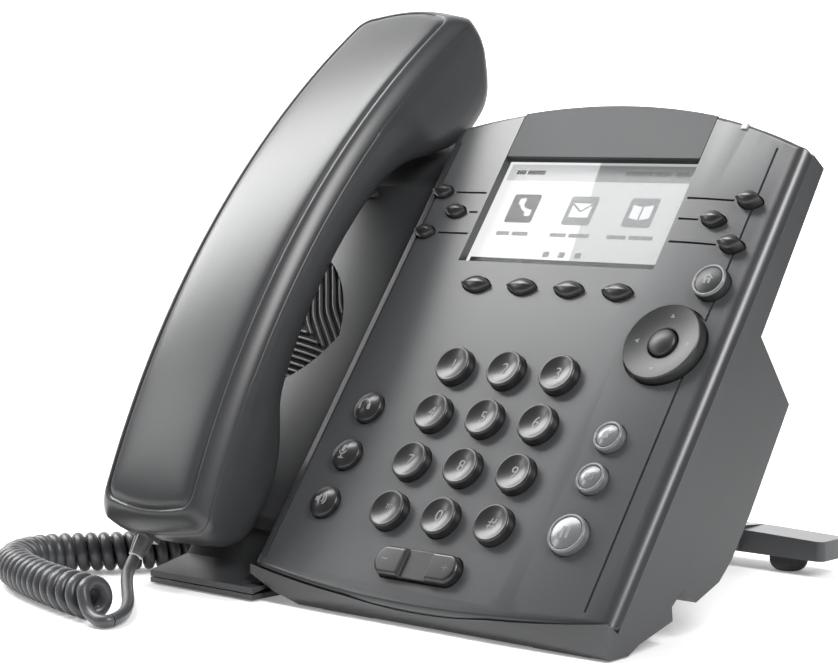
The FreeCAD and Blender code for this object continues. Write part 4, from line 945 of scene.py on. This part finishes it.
def route_points(name, route):
    """Points along the smooth line that the route's points control, in millimetres."""
    curve = bpy.data.curves.new(name, "CURVE")
    curve.dimensions = "3D"
    curve.resolution_u = 24
    spline = curve.splines.new("NURBS")
    spline.points.add(len(route) - 1)
    for point, place in zip(spline.points, route):
        point.co = (*place, 1.0)
    spline.order_u = 3
    spline.use_endpoint_u = True
    return [vertex.co.copy() for vertex in curve_mesh(name, curve).vertices]


def walk(points, step):
    """Evenly spaced points along a line of points."""
    spaced, travelled, due = [points[0].copy()], 0.0, step
    for start, end in zip(points, points[1:]):
        length = (end - start).length
        while due <= travelled + length:
            spaced.append(start.lerp(end, (due - travelled) / length))
            due += step
        travelled += length
    return spaced


def line_length(points):
    return sum((b - a).length for a, b in zip(points, points[1:]))


def way_at(points, k, span=1):
    """The direction of a line of points at one of them, from its neighbours on both sides."""
    return (points[min(k + span, len(points) - 1)] - points[max(k - span, 0)]).normalized()


def tube_mesh(name, path, radius, sides=12):
    """A round tube that follows the path without twisting."""
    bm = bmesh.new()
    rings, circle = [], circle_points(0.0, 0.0, radius, sides)
    normal = (path[1] - path[0]).normalized().orthogonal().normalized()
    for k, point in enumerate(path):
        ahead = way_at(path, k)
        normal = (normal - ahead * normal.dot(ahead)).normalized()
        side = ahead.cross(normal)
        rings.append([bm.verts.new(point + normal * x + side * y) for x, y in circle])
    join_rings(bm, rings)
    bm.faces.new(list(reversed(rings[0])))
    bm.faces.new(rings[-1])
    return bm_to_mesh(bm, name, 60.0)


def helix_line(axis):
    """The wire's own line round the coil's axis. Its first turns are wider, further apart and lean."""
    radius, loose_length, extra_reach, extra_pitch, lean = (COIL_OUTER - WIRE) / 2, 36.0, 0.10, 2.6, 1.6
    line, angle = [], math.radians(-100.0)
    for k, centre in enumerate(axis):
        ahead = way_at(axis, k, 6)
        side = Vector((0, 0, 1)).cross(ahead).normalized()
        up = ahead.cross(side)
        loose = max(0.0, 1 - k * COIL_STEP / loose_length)
        outward = (side * math.cos(angle) + up * math.sin(angle)) * radius * (1.0 + extra_reach * loose)
        place = centre + outward + ahead * (lean * loose * math.sin(angle))
        place.z = max(place.z, WIRE / 2)
        line.append(place)
        angle += 2 * math.pi * COIL_STEP / (COIL_PITCH + extra_pitch * loose)
    return line


def blend_line(start, end, start_way, end_way, count):
    """A smooth bridge between two lines that keeps both directions."""
    reach = (end - start).length
    first, second = start_way.normalized() * reach, end_way.normalized() * reach
    points = []
    for k in range(1, count):
        t = k / count
        points.append(start * (2 * t ** 3 - 3 * t ** 2 + 1) + first * (t ** 3 - 2 * t ** 2 + t)
                      + end * (-2 * t ** 3 + 3 * t ** 2) + second * (t ** 3 - t ** 2))
    return points


def round_off(line, first, last, passes=16):
    """Takes the sharp bends out of one stretch of a line."""
    for _ in range(passes):
        line[first:last] = [(before + 2 * here + after) / 4 for before, here, after
                            in zip(line[first - 1:last - 1], line[first:last], line[first + 1:last + 1])]


def whole_wire(lead, helix, tail):
    """One line through the lead, the coil and the tail, with a smooth bridge at both ends of the coil."""
    turn_start, first_bridge, last_bridge = 6, 14, 10
    line = lead[:-3] + blend_line(lead[-3], helix[turn_start], lead[-3] - lead[-6],
                                  helix[turn_start + 2] - helix[turn_start], first_bridge)
    coil_start = len(line)
    line += helix[turn_start:]
    coil_end = len(line)
    line += blend_line(helix[-1], tail[-2], helix[-1] - helix[-3], tail[-3] - tail[-2], last_bridge)
    line += list(reversed(tail[:-1]))
    round_off(line, coil_start - 18, coil_start + 4)
    round_off(line, coil_end - 4, coil_end + 16)
    return line


def declare_cord(wire):
    tuple(wire[0])
    round(line_length(wire), 3)
    [tuple(point) for point in wire]


def build_cord():
    """The lead hangs from the handset's plug. The coil and the tail lie on the desk, up to the base plug."""
    lead = walk(route_points("lead_line", LEAD_ROUTE), 1.0)
    tail = walk(route_points("tail_line", TAIL_ROUTE), 1.0)
    helix = helix_line(walk(route_points("coil_line", COIL_ROUTE), COIL_STEP))
    wire = [point * MM for point in walk(whole_wire(lead, helix, tail), 0.8)]
    cut = min(range(len(wire)), key=lambda k: (wire[k] - lead[-4] * MM).length)
    lead_wire, coil_wire = wire[:cut + 1], wire[cut:]
    piece = bpy.data.objects.new("cord_lead_wire", tube_mesh("lead_tube", lead_wire, WIRE / 2 * MM))
    bpy.context.scene.collection.objects.link(piece)
    piece.data.materials.append(CORD)
    tuple(lead_wire[0])
    tuple(lead_wire[-1])
    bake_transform(piece)
    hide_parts("cord_lead")
    declare_cord(lead_wire)
    piece = add_object("cord_coil_wire", tube_mesh("coil_tube", coil_wire, WIRE / 2 * MM), [CORD], "console",
                       Matrix.Identity(4), replaced=["cord_coil", "cord_tail"])
    declare_cord(coil_wire)


# ---------------------------------------------------------------- light, floor and camera

CAMERA_PLACE = (0.4733, -0.5648, 0.1387)
CAMERA_PITCH, CAMERA_HEADING = math.radians(85.12), math.radians(41.92)


def stage_plane(name, size, place, turn, colour, glow):
    bm = bmesh.new()
    bmesh.ops.create_grid(bm, x_segments=8, y_segments=8, size=size)
    mesh = bpy.data.meshes.new(name)
    bm.to_mesh(mesh)
    bm.free()
    plane = bpy.data.objects.new(name, mesh)
    bpy.context.scene.collection.objects.link(plane)
    plane.location, plane.rotation_euler = place, turn
    material, tree, shader = new_material(name + "_white")
    patch = noise(tree, 2.0)
    tree.links.new(mix_colours(tree, ramp(tree, patch, 0.0, 1.0), tinted(colour, 0.97), colour),
                   shader.inputs["Base Color"])
    shader.inputs["Roughness"].default_value = 0.7
    shader.inputs["Emission Color"].default_value = (1.0, 1.0, 1.0, 1.0)
    shader.inputs["Emission Strength"].default_value = glow
    plane.data.materials.append(material)


def build_stage():
    stage_plane("floor", 3.0, (0.0, 0.0, 0.0), (0.0, 0.0, 0.0), (0.93, 0.93, 0.93), 0.22)
    upright = (math.radians(90.0), 0.0, CAMERA_HEADING)
    stage_plane("backdrop", 1.4, (-0.95, 1.06, 1.2), upright, (0.9, 0.9, 0.9), 0.95)


def area_light(name, place, target, width, height, power):
    data = bpy.data.lights.new(name, "AREA")
    data.shape = "RECTANGLE"
    data.size, data.size_y = width, height
    data.energy = power
    light = bpy.data.objects.new(name, data)
    bpy.context.scene.collection.objects.link(light)
    light.location = place
    light.rotation_euler = (Vector(target) - Vector(place)).to_track_quat("-Z", "Y").to_euler()


def build_light():
    world = bpy.data.worlds.new("studio")
    bpy.context.scene.world = world
    world.use_nodes = True
    background = world.node_tree.nodes["Background"]
    background.inputs["Color"].default_value = (1.0, 1.0, 1.0, 1.0)
    background.inputs["Strength"].default_value = 0.22
    area_light("key_light", (-0.82, -0.15, 0.86), (-0.03, -0.02, 0.1), 0.42, 0.78, 13.0)
    area_light("left_low", (-0.92, -0.68, 0.55), (-0.07, -0.06, 0.06), 0.24, 0.24, 1.5)
    area_light("overhead", (-0.42, -0.16, 1.22), (0.0, -0.03, 0.06), 0.36, 0.36, 5.0)
    area_light("right_strip", (0.80, -0.20, 0.82), (0.0, -0.03, 0.09), 0.26, 0.6, 11.0)


def build_camera():
    data = bpy.data.cameras.new("camera")
    data.sensor_width, data.lens = 36.0, 104.9
    data.clip_start = 0.05
    camera = bpy.data.objects.new("camera", data)
    bpy.context.scene.collection.objects.link(camera)
    camera.location = CAMERA_PLACE
    camera.rotation_euler = (CAMERA_PITCH, 0.0, CAMERA_HEADING)
    bpy.context.scene.camera = camera
    bpy.context.scene.view_settings.view_transform = "Standard"


build_console()
build_dial_keys()
build_round_keys()
build_navigation()
build_bar_keys()
build_display()
build_grille()
build_handset()
build_cord()
repaint("hook_switch", KEY)
settle_pieces()
build_stage()
build_light()
build_camera()
